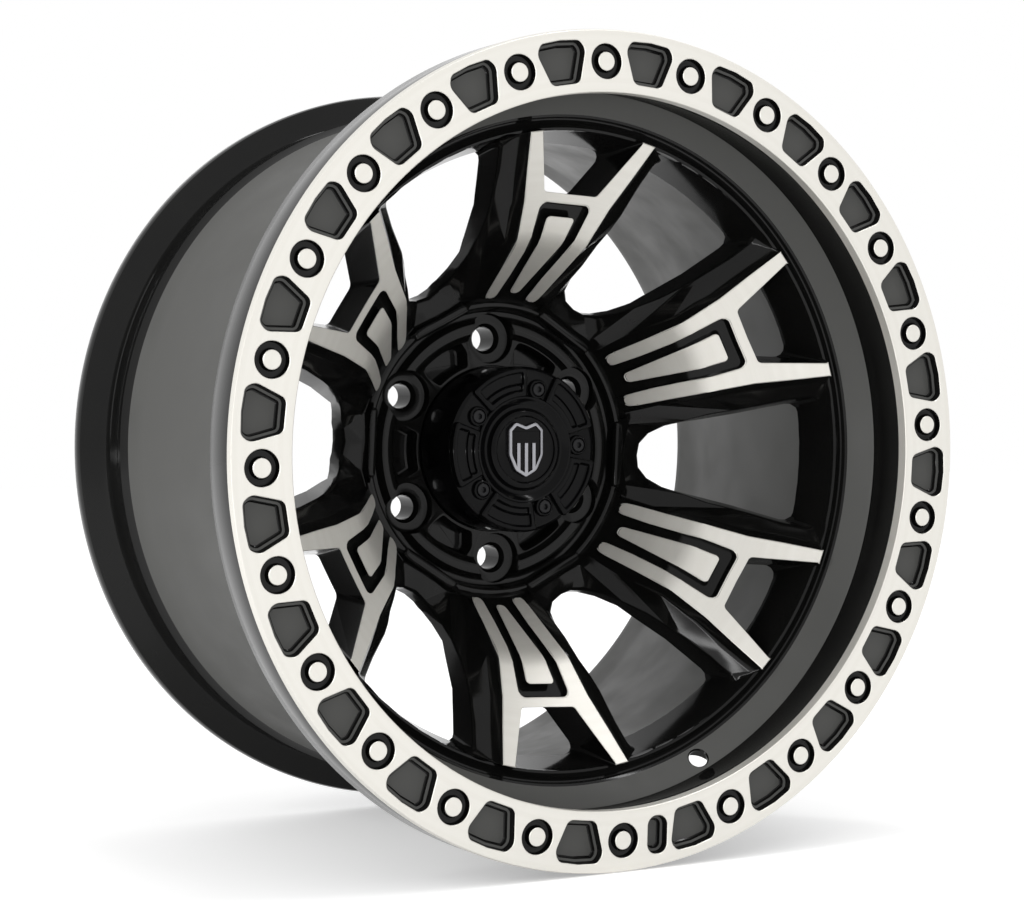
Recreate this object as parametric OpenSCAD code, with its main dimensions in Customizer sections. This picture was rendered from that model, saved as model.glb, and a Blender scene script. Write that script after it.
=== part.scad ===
/* [Rim] */
// Outer diameter of the front ring
ring_od = 488; // [484:0.5:496]
// Inner diameter of the machined ring face
ring_id = 415.2; // [412:0.2:417]
// Thickness of the front ring behind its face
ring_depth = 30; // [27:0.5:32]
// Width of the bevel at the outer edge of the ring face
ring_edge_w = 1; // [0.6:0.1:2]
// Depth of that bevel
ring_edge_h = 3.2; // [1:0.1:4]
// Bead seat diameter of a 17 inch rim
bead_seat_d = 436.6; // [436:0.1:437.2]
// Width from the ring face to the rear flange edge
overall_w = 278; // [274:1:290]
// Outer diameter of the rear flange
rear_flange_d = 471.6; // [468:0.2:474]
// Wall thickness of the barrel
barrel_wall = 6.5; // [6:0.1:7.5]
// Outer diameter of the drop centre
drop_d = 400; // [397:0.5:402]

/* [Ring face] */
// Number of discs standing in the ring face
disc_count = 24; // [24:1:24]
// Angle from one disc to the next, except across the wide space at the bottom
disc_pitch = 14.8; // [14.6:0.05:14.8]
// Diameter of the circle the discs stand on
disc_circle_d = 450.4; // [448:0.2:452]
// Diameter of each disc
disc_d = 10.8; // [9:0.1:12]
// Outer diameter of the groove round each disc
groove_d = 20.4; // [19:0.1:21.8]
// Depth of the groove round each disc
groove_depth = 4.5; // [3:0.1:6]
// Radial height of each pocket between the discs
pocket_h = 25; // [21:0.5:25.5]
// Width of a pocket at its outer side
pocket_w_out = 32.5; // [28:0.5:33]
// Width of a pocket at its inner side
pocket_w_in = 18.5; // [15:0.5:20]
// Depth of the pockets
pocket_depth = 7; // [5:0.2:9]
// Turn of the first disc from the top, clockwise from the front
disc_turn = -2.7; // [-10:0.1:10]
// Width of the oval slot in the wide space at the bottom
slot_w = 13.6; // [8:0.2:14]
// Radial height of the oval slot
slot_h = 22.5; // [16:0.5:24]
// Angle from the oval slot to the disc after it
slot_turn = 6; // [5.7:0.1:6.2]
// Lean of the oval slot from the radial direction
slot_lean = 8; // [0:0.5:10]

/* [Spokes] */
// Turn of the first spoke from the top, clockwise from the front
spoke_turn = 2.9; // [-10:0.1:10]
// Radius where the spoke legs end at the rim
tip_r = 191; // [190:0.1:191.5]
// Depth of the spoke face at the rim, behind the ring face
tip_depth = 46.5; // [46:0.1:48]
// Radius where the spoke face bends
bend_r = 128; // [126:0.5:130]
// Depth of the spoke face at the bend
bend_depth = 92; // [90:0.5:94]
// Radius where the legs end at the hub
root_r = 93.5; // [92.5:0.1:95]
// Depth of the spoke face at the hub end
root_depth = 144.5; // [143:0.1:145]
// Height of the machined faces above the groove floor
face_h = 6; // [5:0.1:7]
// Outer edge of the crossbar from the wheel axis
bar_r = 155.4; // [154.5:0.1:157]
// Radial width of the crossbar
bar_w = 5.6; // [5:0.1:7]
// Half width of the gap between the legs at the crossbar
bar_half = 18.3; // [17.8:0.1:18.8]
// Half width of a leg pair at the tip
tip_half = 43.2; // [42:0.1:44]
// Width of a leg at its tip, across the wheel
tip_w = 8.4; // [7.5:0.1:9.5]
// Half width of a leg pair at the hub
root_half = 18.6; // [18:0.1:19.5]
// Width of a leg at the hub
root_w = 8.4; // [7.5:0.1:9]
// Outer edge of the island between the legs
island_r = 142.3; // [141:0.1:143.2]
// Half width of the island at its outer edge
island_half = 9.9; // [9:0.1:10.5]

/* [Windows] */
// Radius of the rounded inner end of a window
win_end_r = 23; // [22:0.1:24]
// Centre of that rounded end from the wheel axis
win_end_pos = 131.4; // [131:0.1:134]
// Half width of a window at the rim
win_half = 39; // [38:0.1:40]
// Lateral step from a leg down to the ledge beside it
ledge_step = 4.2; // [3.5:0.1:5]
// Depth of the ledge below the spoke face
ledge_drop = 7; // [6.2:0.1:8]
// Extra depth across the sloped ledge
ledge_fall = 7; // [5:0.1:8]

/* [Hub] */
// Diameter of the hub recess
recess_d = 147; // [146:0.5:148]
// Width of the crest round the recess
crest_w = 7; // [6:0.1:8]
// Depth of the crest behind the ring face
crest_depth = 151; // [150:0.1:152]
// Depth of the channel outside the crest, below its top
channel_drop = 6; // [4:0.1:7]
// Depth of the shoulder between the channel and the windows
shoulder_depth = 148.5; // [147.5:0.1:149.5]
// Width of the straight bar inside each window
bar_rib_w = 6.8; // [6:0.1:7.5]
// Length of that bar
bar_rib_len = 46; // [40:0.5:48]
// Height of that bar above the shoulder
bar_rib_h = 2; // [1:0.1:3]
// Depth of the hub floor behind the ring face
floor_depth = 155; // [154:0.1:157]
// Depth of the mounting pad behind the ring face
pad_depth = 183; // [182:0.5:186]
// Diameter of the mounting pad
pad_d = 168; // [164:1:170]
// Number of wheel studs
lug_count = 6; // [6:1:6]
// Pitch circle of the wheel studs
lug_pcd = 139.7; // [139:0.1:140]
// Stud hole diameter
lug_d = 15.5; // [14.5:0.1:16.5]
// Diameter of the cone seat where it meets the pocket floor
seat_d = 19.6; // [19:0.1:21]
// Depth of the pocket floor the nuts turn in
seat_depth = 162; // [161:0.1:164]
// Diameter of the nut pocket
nut_pocket_d = 32; // [29:0.1:33]
// Turn of the first stud hole from the top, clockwise from the front
lug_turn = -1.6; // [-6:0.1:6]
// Diameter of the centre bore at the mounting pad
bore_d = 106.1; // [105:0.1:108.2]
// Length of the centre bore
bore_len = 9; // [7:0.5:10]
// Depth of the pockets between the stud bosses
web_depth = 167; // [160:0.5:170]
// Wall of a stud boss beside those pockets
boss_wall = 2.8; // [2.4:0.1:4]
// Wall between those pockets and the seat of the cap
web_wall = 2.4; // [2:0.1:3]

/* [Valve hole] */
// Valve hole diameter
valve_d = 11.5; // [11.3:0.1:12.5]
// Turn of the valve hole from the top, clockwise from the front
valve_turn = 156.4; // [150:0.1:160]
// Thickness of the wall the valve sits in
valve_wall = 4; // [3.6:0.1:5]
// Diameter of the spot face round the hole on the tyre side
valve_spot_d = 20; // [18:0.5:21]

/* [Centre cap] */
// Outer diameter of the centre cap
cap_d = 103.4; // [102.8:0.1:103.8]
// Depth of the cap face behind the ring face
cap_face_depth = 113; // [112:0.1:114]
// Diameter of the cap at its foot
cap_foot_d = 104; // [103:0.1:105]
// Depth of the seat the cap stands on
cap_seat_depth = 160; // [158:0.5:162]
// Diameter of the lip the cap snaps into
lip_d = 98; // [97:0.1:99]
// Wall thickness of the centre cap
cap_wall = 3; // [2.6:0.1:3.4]
// Gap round the cap in its seat
cap_gap = 0.4; // [0.3:0.05:0.6]
// Diameter of the small hole in the side of the cap
side_hole_d = 5.5; // [4:0.1:7]
// Number of cap screws
screw_count = 5; // [5:1:5]
// Pitch circle of the cap screws
screw_pcd = 77; // [76:0.1:78]
// Head diameter of the cap screws
screw_head_d = 8; // [7.5:0.1:8.4]
// Turn of the first cap screw from the top, clockwise from the front
screw_turn = 14.4; // [0:0.1:20]
// Diameter of the dome in the middle of the cap
dome_d = 56; // [54:0.1:57]
// Height of the badge
badge_h = 34; // [30:0.5:35]
// Width of the badge
badge_w = 24; // [20:0.5:25]
// Thickness of the badge
badge_t = 1.6; // [1.2:0.1:2]

/* [Build] */
// Sub-part to draw

/* [Hidden] */
$fn = 96;
black = [0.03, 0.03, 0.035];
silver = [0.82, 0.82, 0.83];
rb = bead_seat_d / 2;
rf = rear_flange_d / 2;
rd = drop_d / 2;
ri = ring_id / 2;
z_rear = -overall_w;
spokes = 6;
step = 360 / spokes;
snap_depth = cap_seat_depth + 8.8;
rim_foot = tip_depth + 32.5;
channel_r = root_r - 6.5;
valve_r = rd + 6.2;
valve_z = -ring_depth - 13.92;
valve_lean = 136.58;

// Depth of the machined spoke face at a radius, as a z height
face_slope_out = (bend_depth - tip_depth) / (tip_r - bend_r);
face_slope_in = (root_depth - bend_depth) / (bend_r - root_r);
function face_z(r) = r > bend_r ? -tip_depth - (tip_r - r) * face_slope_out : -bend_depth - (bend_r - r) * face_slope_in;
function back_z(r) = lookup(r, [
    [root_r - 9.5, -pad_depth + 1],
    [root_r + 6.5, -pad_depth + 11],
    [root_r + 18.5, -pad_depth + 23],
    [bend_r, -bend_depth - 39],
    [bend_r + 27, -bend_depth - 11],
    [tip_r + 2, -rim_foot - 1]
]);
function polar(r, a) = [r * sin(a), r * cos(a)];
function turn(p, a) = [p[0] * cos(a) + p[1] * sin(a), p[1] * cos(a) - p[0] * sin(a)];
function unit(v) = v / norm(v);

// Rounds every corner of a polygon by the radius in the third column
function rounded(p, n = 4) = [
    for (i = [0:len(p) - 1])
        let (
            b = [p[i][0], p[i][1]],
            a0 = p[(i + len(p) - 1) % len(p)],
            c0 = p[(i + 1) % len(p)],
            u = unit([a0[0], a0[1]] - b),
            v = unit([c0[0], c0[1]] - b),
            half = acos(max(-1, min(1, u * v))) / 2,
            r = p[i][2]
        )
        for (k = r > 0 && half < 88 ? [0:n] : [0])
            r > 0 && half < 88 ?
                let (
                    t = r / tan(half),
                    m = b + unit(u + v) * (r / sin(half)),
                    s = b + u * t - m,
                    e = b + v * t - m,
                    w = k / n,
                    d = unit(s * (1 - w) + e * w)
                ) m + d * r
            : b
];

// Solid between stacked rings of equal point counts, first ring at the top
module stacked(rings) {
    n = len(rings[0]);
    m = len(rings);
    pts = [for (g = rings) for (q = g) q];
    sides = [for (j = [0:m - 2]) for (i = [0:n - 1])
        [j * n + i, j * n + (i + 1) % n, (j + 1) * n + (i + 1) % n, (j + 1) * n + i]];
    polyhedron(
        points = pts,
        faces = concat(
            [[for (i = [n - 1:-1:0]) i]],
            [for (s = sides) [s[0], s[1], s[2]]],
            [for (s = sides) [s[0], s[2], s[3]]],
            [[for (i = [0:n - 1]) (m - 1) * n + i]]
        ),
        convexity = 6
    );
}

module around(count, first = 0) {
    for (i = [0:count - 1])
        rotate([0, 0, -(first + i * 360 / count)])
            children();
}

// Moves a piece built face up on the z axis into the row frame
module stand() {
    translate([0, -overall_w / 2, 0])
        rotate([90, 0, 0])
            children();
}

// Outer edge of a leg pair, right side, from the hub to the rim
leg_edge = [
    [root_half, root_r],
    [root_half + 2.9, root_r + 17.5],
    [root_half + 5.9, root_r + 33.5],
    [tip_half - 13.2, bend_r + 21],
    [tip_half - 6.7, tip_r - 24.5],
    [tip_half, sqrt(tip_r * tip_r - tip_half * tip_half)]
];

// Angle of a disc: the second half of them starts after the wide space
function disc_angle(k) = disc_turn + k * disc_pitch + (k >= disc_count / 2 ? 360 - disc_count * disc_pitch : 0);

module rim_profile() {
    polygon([
        [ri, 0],
        [ring_od / 2 - ring_edge_w, 0],
        [ring_od / 2, -ring_edge_h],
        [ring_od / 2, -ring_depth + 3],
        [ring_od / 2 - 3, -ring_depth],
        [rb + 4, -ring_depth - 0.5],
        [rb, -ring_depth - 4.5],
        [rb, -ring_depth - 22],
        [rb + 1.4, -ring_depth - 25],
        [rb - 1, -ring_depth - 29],
        [rd + 5, -ring_depth - 44],
        [rd, -ring_depth - 50],
        [rd, -ring_depth - 96],
        [rb - 7, z_rear + 60],
        [rb - 2, z_rear + 47],
        [rb + 1.4, z_rear + 42],
        [rb + 1.4, z_rear + 38],
        [rb, z_rear + 34],
        [rb, z_rear + 19],
        [rb + 4, z_rear + 14],
        [rf - 3, z_rear + 12],
        [rf, z_rear + 9],
        [rf, z_rear + 3],
        [rf - 2, z_rear + 0.6],
        [rf - 6, z_rear],
        [rf - 12, z_rear],
        [rb + 1, z_rear + 5],
        [rb - barrel_wall + 1, z_rear + 16],
        [rb - barrel_wall, z_rear + 36],
        [rb - barrel_wall - 7, z_rear + 58],
        [rd - barrel_wall, -ring_depth - 92],
        [rd - barrel_wall, -rim_foot - 5],
        [ri - 19.6, -rim_foot - 0.5],
        [ri - 21.6, -rim_foot - 0.5],
        [ri - 17.1, -tip_depth - 8.5],
        [ri - 15, -tip_depth - 5.1],
        [ri - 11.2, -tip_depth - 7],
        [ri - 9.4, -tip_depth - 7],
        [ri - 8.7, -tip_depth - 4.1],
        [ri - 7.4, -tip_depth - 3.1],
        [ri + 3.8, -ring_depth - 9],
        [ri + 4.8, -ring_depth - 6],
        [ri + 1.6, -8.5],
        [ri, -7]
    ]);
}

module rim() {
    rotate_extrude($fn = 180)
        rim_profile();
}

// Face of the spoke disc, from the hub crest out to the rim
module spoke_profile() {
    polygon([
        [channel_r + 2, -shoulder_depth - 4],
        [root_r - 3, face_z(root_r - 3) - 0.3],
        [root_r, face_z(root_r)],
        [bend_r - 5, face_z(bend_r - 5)],
        [bend_r + 0.6, face_z(bend_r) - 0.6],
        [bend_r + 6, face_z(bend_r + 6)],
        [tip_r, face_z(tip_r)],
        [tip_r, -tip_depth - 9.5],
        [ri - 13.1, -tip_depth - 10.5],
        [ri - 13.1, -rim_foot],
        [tip_r - 4, back_z(tip_r - 4)],
        [bend_r + 27, back_z(bend_r + 27)],
        [bend_r, back_z(bend_r)],
        [root_r + 18.5, back_z(root_r + 18.5)],
        [root_r + 6.5, back_z(root_r + 6.5)],
        [channel_r + 3, back_z(channel_r + 3)],
        [channel_r + 2, -crest_depth - 14]
    ]);
}

// Region above the groove floors
module groove_profile() {
    polygon([
        [channel_r - 5, -40],
        [channel_r - 5, -shoulder_depth + 0.4],
        [channel_r - 1, -shoulder_depth + 0.4],
        [root_r - 1, face_z(root_r) - face_h],
        [bend_r - 1, face_z(bend_r - 1) - face_h],
        [bar_r + 2, face_z(bar_r + 2) - face_h],
        [bar_r + 2, -40]
    ]);
}

// Machined faces of one spoke, seen from the front
module face_shape() {
    e = leg_edge;
    c = bar_r - bar_w;
    side = concat(
        [[e[0][0] - root_w + 0.4, e[0][1], 3.4], [e[0][0], e[0][1], 3.4]],
        [for (i = [1:4]) [e[i][0], e[i][1], 12]],
        [[e[5][0], e[5][1], 2.2]],
        [[tip_half - tip_w + 0.4, sqrt(tip_r * tip_r - pow(tip_half - tip_w + 0.4, 2)), 1.6]],
        [[bar_half, bar_r, 3]]
    );
    outer = concat(side, [for (q = [len(side) - 1:-1:0]) [-side[q][0], side[q][1], side[q][2]]]);
    groove = [
        [11.5, root_r + 14.5, 10],
        [13.4, root_r + 27.5, 10],
        [15.3, bend_r + 2, 10],
        [bar_half - 0.5, c, 4.2]
    ];
    inner = concat([for (q = groove) [-q[0], q[1], q[2]]], [for (i = [3:-1:0]) groove[i]]);
    polygon(rounded(concat(outer, inner)));
    start = root_r + 4.9;
    long = island_r - start;
    half = [
        [3.1, start, 2.6],
        [5, start + long * 0.24, 8],
        [6.6, start + long * 0.45, 8],
        [8.2, start + long * 0.66, 8],
        [island_half, island_r, 2.4]
    ];
    polygon(rounded(concat(
        [for (q = half) [-q[0], q[1], q[2]]],
        [for (i = [len(half) - 1:-1:0]) half[i]]
    )));
}

// Ground outline the grooves are cut from, between the outer leg edges
module groove_area() {
    e = leg_edge;
    polygon(concat(
        [[-24, 80], [24, 80]],
        [for (i = [1:3]) [e[i][0] + 2, e[i][1]]],
        [[e[3][0] - 8, bar_r - 0.4], [-(e[3][0] - 8), bar_r - 0.4]],
        [for (i = [3:-1:1]) [-e[i][0] - 2, e[i][1]]]
    ));
}

// Half outline of a window at a level: 0 leg edge, 1 ledge top, 2 ledge foot, 3 far side
function win_side(level) =
    let (
        e = [for (p = leg_edge) let (q = turn(p, -step / 2)) [abs(q[0]), q[1]]],
        d = level == 0 ? 0 : ledge_step,
        r1 = tip_r + 0.6 - d * 0.15,
        o = level == 2 ? ledge_step : 0,
        re = win_end_r + o * 0.5,
        rr = level == 2 ? tip_r : tip_r - 4,
        slope = (win_half - win_end_r * sin(72)) / (tip_r - 9 - win_end_pos + win_end_r * cos(72))
    )
    level < 2 ?
        concat(
            [[0, root_r - 1.5 + d * 0.3, 0], [20 - d * 0.3, root_r - 0.5 + d * 0.3, 5]],
            [for (i = [0:4]) [e[i][0] - d * 0.96, e[i][1] + d * 0.25, 0]],
            [[e[5][0] - d, sqrt(r1 * r1 - pow(e[5][0] - d, 2)), 1.5]],
            [for (a = [10, 5, 0]) [polar(r1, a)[0], polar(r1, a)[1], 0]]
        )
    :
        concat(
            [for (a = [0:18:72]) [re * sin(a), win_end_pos - re * cos(a), 0]],
            [for (i = [0:4]) let (y = win_end_pos + 2.6 + i * 8.5)
                [win_end_r * sin(72) + o + slope * (y - win_end_pos + win_end_r * cos(72)), y, 0]],
            [[win_half + o, sqrt(rr * rr - pow(win_half + o, 2)), 6]],
            [for (a = [8, 4, 0]) [polar(rr, a)[0], polar(rr, a)[1], 0]]
        );

function win_z(level, p) =
    let (r = norm(p))
    level == 0 ? max(win_z(1, p) + 1.5, face_z(min(r, tip_r - 1)) - 2) :
    level == 1 ? lookup(r, [
        [root_r + 2.5, -shoulder_depth - 1],
        [root_r + 16.5, -shoulder_depth + 9.5],
        [bend_r, -bend_depth - ledge_drop - 1],
        [tip_r, -tip_depth - ledge_drop]
    ]) :
    level == 2 ? lookup(r, [
        [root_r + 15.5, -shoulder_depth - 2.4],
        [bend_r, -bend_depth - 26],
        [bend_r + 22, -bend_depth + 9 - ledge_fall],
        [tip_r, -tip_depth - ledge_drop - ledge_fall]
    ]) :
    back_z(max(r, root_r + 15.5)) - 1;

// Whole outline from the half on the right, with its corners rounded
function whole(half) =
    rounded(concat(half, [for (i = [len(half) - 2:-1:1]) [-half[i][0], half[i][1], half[i][2]]]), 3);

module window_cut() {
    a = whole(win_side(0));
    b = whole(win_side(1));
    c = whole(win_side(2));
    d = whole(win_side(3));
    stacked([
        [for (p = a) [p[0], p[1], 2.5 - tip_depth]],
        [for (p = a) [p[0], p[1], max(win_z(0, p), win_z(1, p) + 1)]],
        [for (p = b) [p[0], p[1], win_z(1, p)]],
        [for (p = c) [p[0], p[1], win_z(2, p)]],
        [for (p = d) [p[0], p[1], win_z(3, p)]],
        [for (p = d) [p[0], p[1], -pad_depth - 17]]
    ]);
}

// Window between the two legs of a spoke, wider at the front
module fork_cut() {
    front = [
        [bar_half, bar_r, 3],
        [tip_half - tip_w + 0.7, tip_r - 2.7, 1.5],
        [tip_half - 19.2, tip_r - 0.8, 0],
        [tip_half - 31.2, tip_r + 0.3, 0]
    ];
    rear = [
        [bar_half - 4.7, bar_r + 3, 5],
        [tip_half - 15.7, tip_r - 8.4, 5],
        [tip_half - 23.2, tip_r - 5.4, 0],
        [tip_half - 33.2, tip_r - 4.3, 0]
    ];
    top = rounded(concat(front, [[0, tip_r + 0.7, 0]], [for (i = [3:-1:0]) [-front[i][0], front[i][1], front[i][2]]]));
    low = rounded(concat(rear, [[0, tip_r - 4, 0]], [for (i = [3:-1:0]) [-rear[i][0], rear[i][1], rear[i][2]]]));
    stacked([
        [for (p = top) [p[0], p[1], 2.5 - tip_depth]],
        [for (p = top) [p[0], p[1], face_z(norm(p)) - 1]],
        [for (p = low) [p[0], p[1], back_z(norm(p)) - 1]],
        [for (p = low) [p[0], p[1], -bend_depth - 38]]
    ]);
}

module hub_profile() {
    r = recess_d / 2;
    polygon([
        [lip_d / 2, -pad_depth + bore_len],
        [lip_d / 2, -snap_depth - 1.2],
        [lip_d / 2 + 1.3, -snap_depth - 1.2],
        [lip_d / 2 + 1.3, -snap_depth + 1.2],
        [lip_d / 2, -snap_depth + 1.2],
        [lip_d / 2, -cap_seat_depth],
        [cap_foot_d / 2 + cap_gap, -cap_seat_depth],
        [cap_foot_d / 2 + cap_gap, -floor_depth],
        [r - 2.6, -floor_depth],
        [r, -crest_depth - 1.4],
        [r + 1.2, -crest_depth],
        [r + crest_w, -crest_depth],
        [r + crest_w + 3, -crest_depth - channel_drop],
        [channel_r, -crest_depth - channel_drop],
        [channel_r + 1.6, -shoulder_depth - 1.4],
        [channel_r + 3, -shoulder_depth],
        [root_r + 0.5, -shoulder_depth - 1],
        [root_r + 4.5, -shoulder_depth - 2.6],
        [root_r + 10.5, -pad_depth + 17],
        [pad_d / 2 + 3, -pad_depth + 2],
        [pad_d / 2, -pad_depth],
        [bore_d / 2 + 1, -pad_depth],
        [bore_d / 2, -pad_depth + 1],
        [bore_d / 2, -pad_depth + bore_len]
    ]);
}

module lug_cuts() {
    for (i = [0:lug_count - 1])
        rotate([0, 0, -(lug_turn + i * 360 / lug_count)])
            translate([0, lug_pcd / 2, 0]) {
                translate([0, 0, -seat_depth])
                    cylinder(d = nut_pocket_d, h = 60);
                translate([0, 0, -seat_depth - (seat_d - lug_d) * 0.866])
                    cylinder(d1 = lug_d, d2 = seat_d, h = (seat_d - lug_d) * 0.866 + 0.01);
                translate([0, 0, -pad_depth - 5])
                    cylinder(d = lug_d, h = 20);
            }
}

// Pockets between the stud bosses
module web_cuts() {
    translate([0, 0, -web_depth])
        linear_extrude(web_depth - 140)
            difference() {
                circle(d = recess_d - 7);
                circle(d = cap_foot_d + 2 * (cap_gap + web_wall));
                around(lug_count, lug_turn)
                    translate([0, lug_pcd / 2])
                        circle(d = nut_pocket_d + 2 * boss_wall);
            }
}

// Straight bar at the inner end of each window
module bar_ribs() {
    w = bar_rib_w;
    h = bar_rib_len / 2;
    around(spokes, spoke_turn + step / 2)
        translate([0, channel_r - 1.4, -crest_depth - channel_drop - 6])
            linear_extrude(crest_depth + channel_drop + 6 - shoulder_depth + bar_rib_h)
                polygon(rounded([[-h, 0, 2], [h, 0, 2], [h - 3, w, 2.5], [3 - h, w, 2.5]]));
}

module ring_cuts() {
    rc = disc_circle_d / 2;
    for (k = [0:disc_count - 1])
        rotate([0, 0, -disc_angle(k)])
            translate([0, rc, -groove_depth])
                difference() {
                    cylinder(d = groove_d, h = groove_depth + 1, $fn = 48);
                    translate([0, 0, -1])
                        cylinder(d = disc_d, h = groove_depth + 3, $fn = 48);
                }
    pr = rc - pocket_h / 2 + 0.2;
    for (k = [0:disc_count - 1])
        rotate([0, 0, -disc_angle(k) - disc_pitch / 2])
            translate([0, pr, -pocket_depth])
                linear_extrude(pocket_depth + 1)
                    pocket_shape();
    rotate([0, 0, slot_turn - disc_angle(disc_count / 2)])
        translate([0, rc, -pocket_depth])
            rotate([0, 0, -slot_lean])
                linear_extrude(pocket_depth + 1)
                    slot_shape();
}

module pocket_shape() {
    wi = pocket_w_in / 2;
    wo = pocket_w_out / 2;
    polygon(rounded([
        [-wi, 0, 4],
        [wi, 0, 4],
        [wo, pocket_h * 0.76, 6],
        [wo - 3.6, pocket_h - 0.6, 4],
        [0, pocket_h + 0.4, 0],
        [3.6 - wo, pocket_h - 0.6, 4],
        [-wo, pocket_h * 0.76, 6]
    ]));
}

// Oval slot about its own centre
module slot_shape() {
    w = slot_w / 2;
    h = slot_h / 2;
    polygon(rounded([[-w, -h, w - 0.8], [w, -h, w - 0.8], [w, h, w - 0.8], [-w, h, w - 0.8]], 5));
}

module valve_cut() {
    rotate([0, 0, -valve_turn])
        translate([0, valve_r, valve_z])
            rotate([-valve_lean, 0, 0]) {
                translate([0, 0, -12])
                    cylinder(d = valve_d, h = 46, $fn = 64);
                translate([0, 0, valve_wall])
                    cylinder(d = valve_spot_d, h = 30, $fn = 64);
            }
}

module wheel() {
    color(black)
        stand()
            difference() {
                union() {
                    rim();
                    rotate_extrude($fn = 180)
                        hub_profile();
                    bar_ribs();
                    difference() {
                        rotate_extrude($fn = 180)
                            spoke_profile();
                        around(spokes, spoke_turn + step / 2)
                            window_cut();
                        around(spokes, spoke_turn)
                            fork_cut();
                        around(spokes, spoke_turn)
                            intersection() {
                                translate([0, 0, -shoulder_depth - 12])
                                    linear_extrude(shoulder_depth)
                                        difference() {
                                            groove_area();
                                            face_shape();
                                        }
                                rotate_extrude($fn = 180)
                                    groove_profile();
                            }
                    }
                }
                lug_cuts();
                ring_cuts();
                valve_cut();
                web_cuts();
            }
}

module centre_cap() {
    top = -cap_face_depth;
    rc = cap_d / 2;
    foot = cap_foot_d / 2;
    skirt = lip_d / 2 - 0.3;
    pads = 360 / screw_count;
    dr = dome_d / 2;
    color(black)
        stand()
            difference() {
                union() {
                    rotate_extrude($fn = 120)
                        polygon([
                            [0, top - 1],
                            [dr - 8, top - 1],
                            [dr - 7.2, top + 0.8],
                            [dr - 4, top + 0.2],
                            [dr - 2.4, top - 3.2],
                            [dr - 0.4, top - 3.4],
                            [dr + 3.4, top - 0.6],
                            [dr + 5, top - 0.6],
                            [dr + 5.6, top - 3.2],
                            [rc - 3, top - 3.2],
                            [rc - 0.6, top - 4.4],
                            [rc, top - 6],
                            [foot, -cap_seat_depth + 1],
                            [foot, -cap_seat_depth],
                            [skirt, -cap_seat_depth],
                            [skirt, -snap_depth + 0.9],
                            [skirt + 1, -snap_depth + 0.5],
                            [skirt + 1, -snap_depth - 0.5],
                            [skirt - 0.6, -snap_depth - 2],
                            [skirt - cap_wall + 0.4, -snap_depth - 2],
                            [skirt - cap_wall + 0.4, -cap_seat_depth + 2],
                            [foot - cap_wall, -cap_seat_depth + 6],
                            [rc - cap_wall, top - 6.5],
                            [0, top - 6.5]
                        ]);
                    around(screw_count, screw_turn + pads / 2)
                        translate([0, 0, top - 6])
                            linear_extrude(6)
                                pad_shape();
                    around(screw_count, screw_turn)
                        translate([0, screw_pcd / 2, top - 4])
                            cylinder(d = screw_head_d + 4.4, h = 3.4, $fn = 48);
                }
                around(screw_count, screw_turn)
                    translate([0, screw_pcd / 2, top]) {
                        translate([0, 0, -3])
                            cylinder(d = screw_head_d + 0.8, h = 10, $fn = 48);
                        translate([0, 0, -20])
                            cylinder(d = 4.6, h = 20, $fn = 32);
                    }
                rotate([0, 0, 98.5])
                    translate([0, rc - 8, top - 31])
                        rotate([-90, 0, 0])
                            cylinder(d = side_hole_d, h = 16, $fn = 48);
            }
}

// Raised arc between two cap screws, with a slot along its middle
module pad_shape() {
    half = 180 / screw_count - 12;
    r0 = dome_d / 2 + 4.6;
    r1 = cap_d / 2 - 0.9;
    difference() {
        polygon(concat(
            [for (i = [-6:6]) polar(r1, half * i / 6)],
            [for (i = [6:-1:-6]) polar(r0, (half + 1) * i / 6)]
        ));
        polygon(concat(
            [for (i = [-6:6]) polar(r1 - 4.4, (half - 3.5) * i / 6)],
            [for (i = [6:-1:-6]) polar(r0 + 5.6, (half - 4) * i / 6)]
        ));
    }
}

module cap_badge() {
    w = badge_w / 2;
    h = badge_h;
    color(silver)
        stand()
            translate([0, -h / 2, -cap_face_depth - 0.7])
                linear_extrude(badge_t)
                    polygon(rounded([
                        [0, 0, 2],
                        [w * 0.62, h * 0.12, 6],
                        [w, h * 0.4, 8],
                        [w, h * 0.86, 2],
                        [w * 0.6, h, 3],
                        [0, h * 0.92, 2],
                        [-w * 0.6, h, 3],
                        [-w, h * 0.86, 2],
                        [-w, h * 0.4, 8],
                        [-w * 0.62, h * 0.12, 6]
                    ]));
}

module cap_screws() {
    color(black)
        stand()
            around(screw_count, screw_turn)
                translate([0, screw_pcd / 2, -cap_face_depth - 2.7])
                    difference() {
                        union() {
                            cylinder(d = screw_head_d, h = 2.6, $fn = 48);
                            translate([0, 0, -9])
                                cylinder(d = 4, h = 9.5, $fn = 32);
                        }
                        translate([0, 0, 0.8])
                            cylinder(d = 4, h = 3, $fn = 6);
                    }
}

wheel();
centre_cap();
cap_badge();
cap_screws();
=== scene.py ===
"""Looks of a sport wheel: a one-piece cast off-road wheel with a tall centre cap.

Every piece is shaped in the wheel's own frame, in millimetres: x to the right, y up and z out of
the front face, with z = 0 at the ring face. STAND then turns it into the row's frame, in metres.
Angles run clockwise from the top, as seen from the front.
"""

import logging
import math
from dataclasses import dataclass, field
from enum import Enum
from typing import Callable, Iterable, Sequence

import bmesh
import bpy
from mathutils import Matrix, Vector

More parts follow.
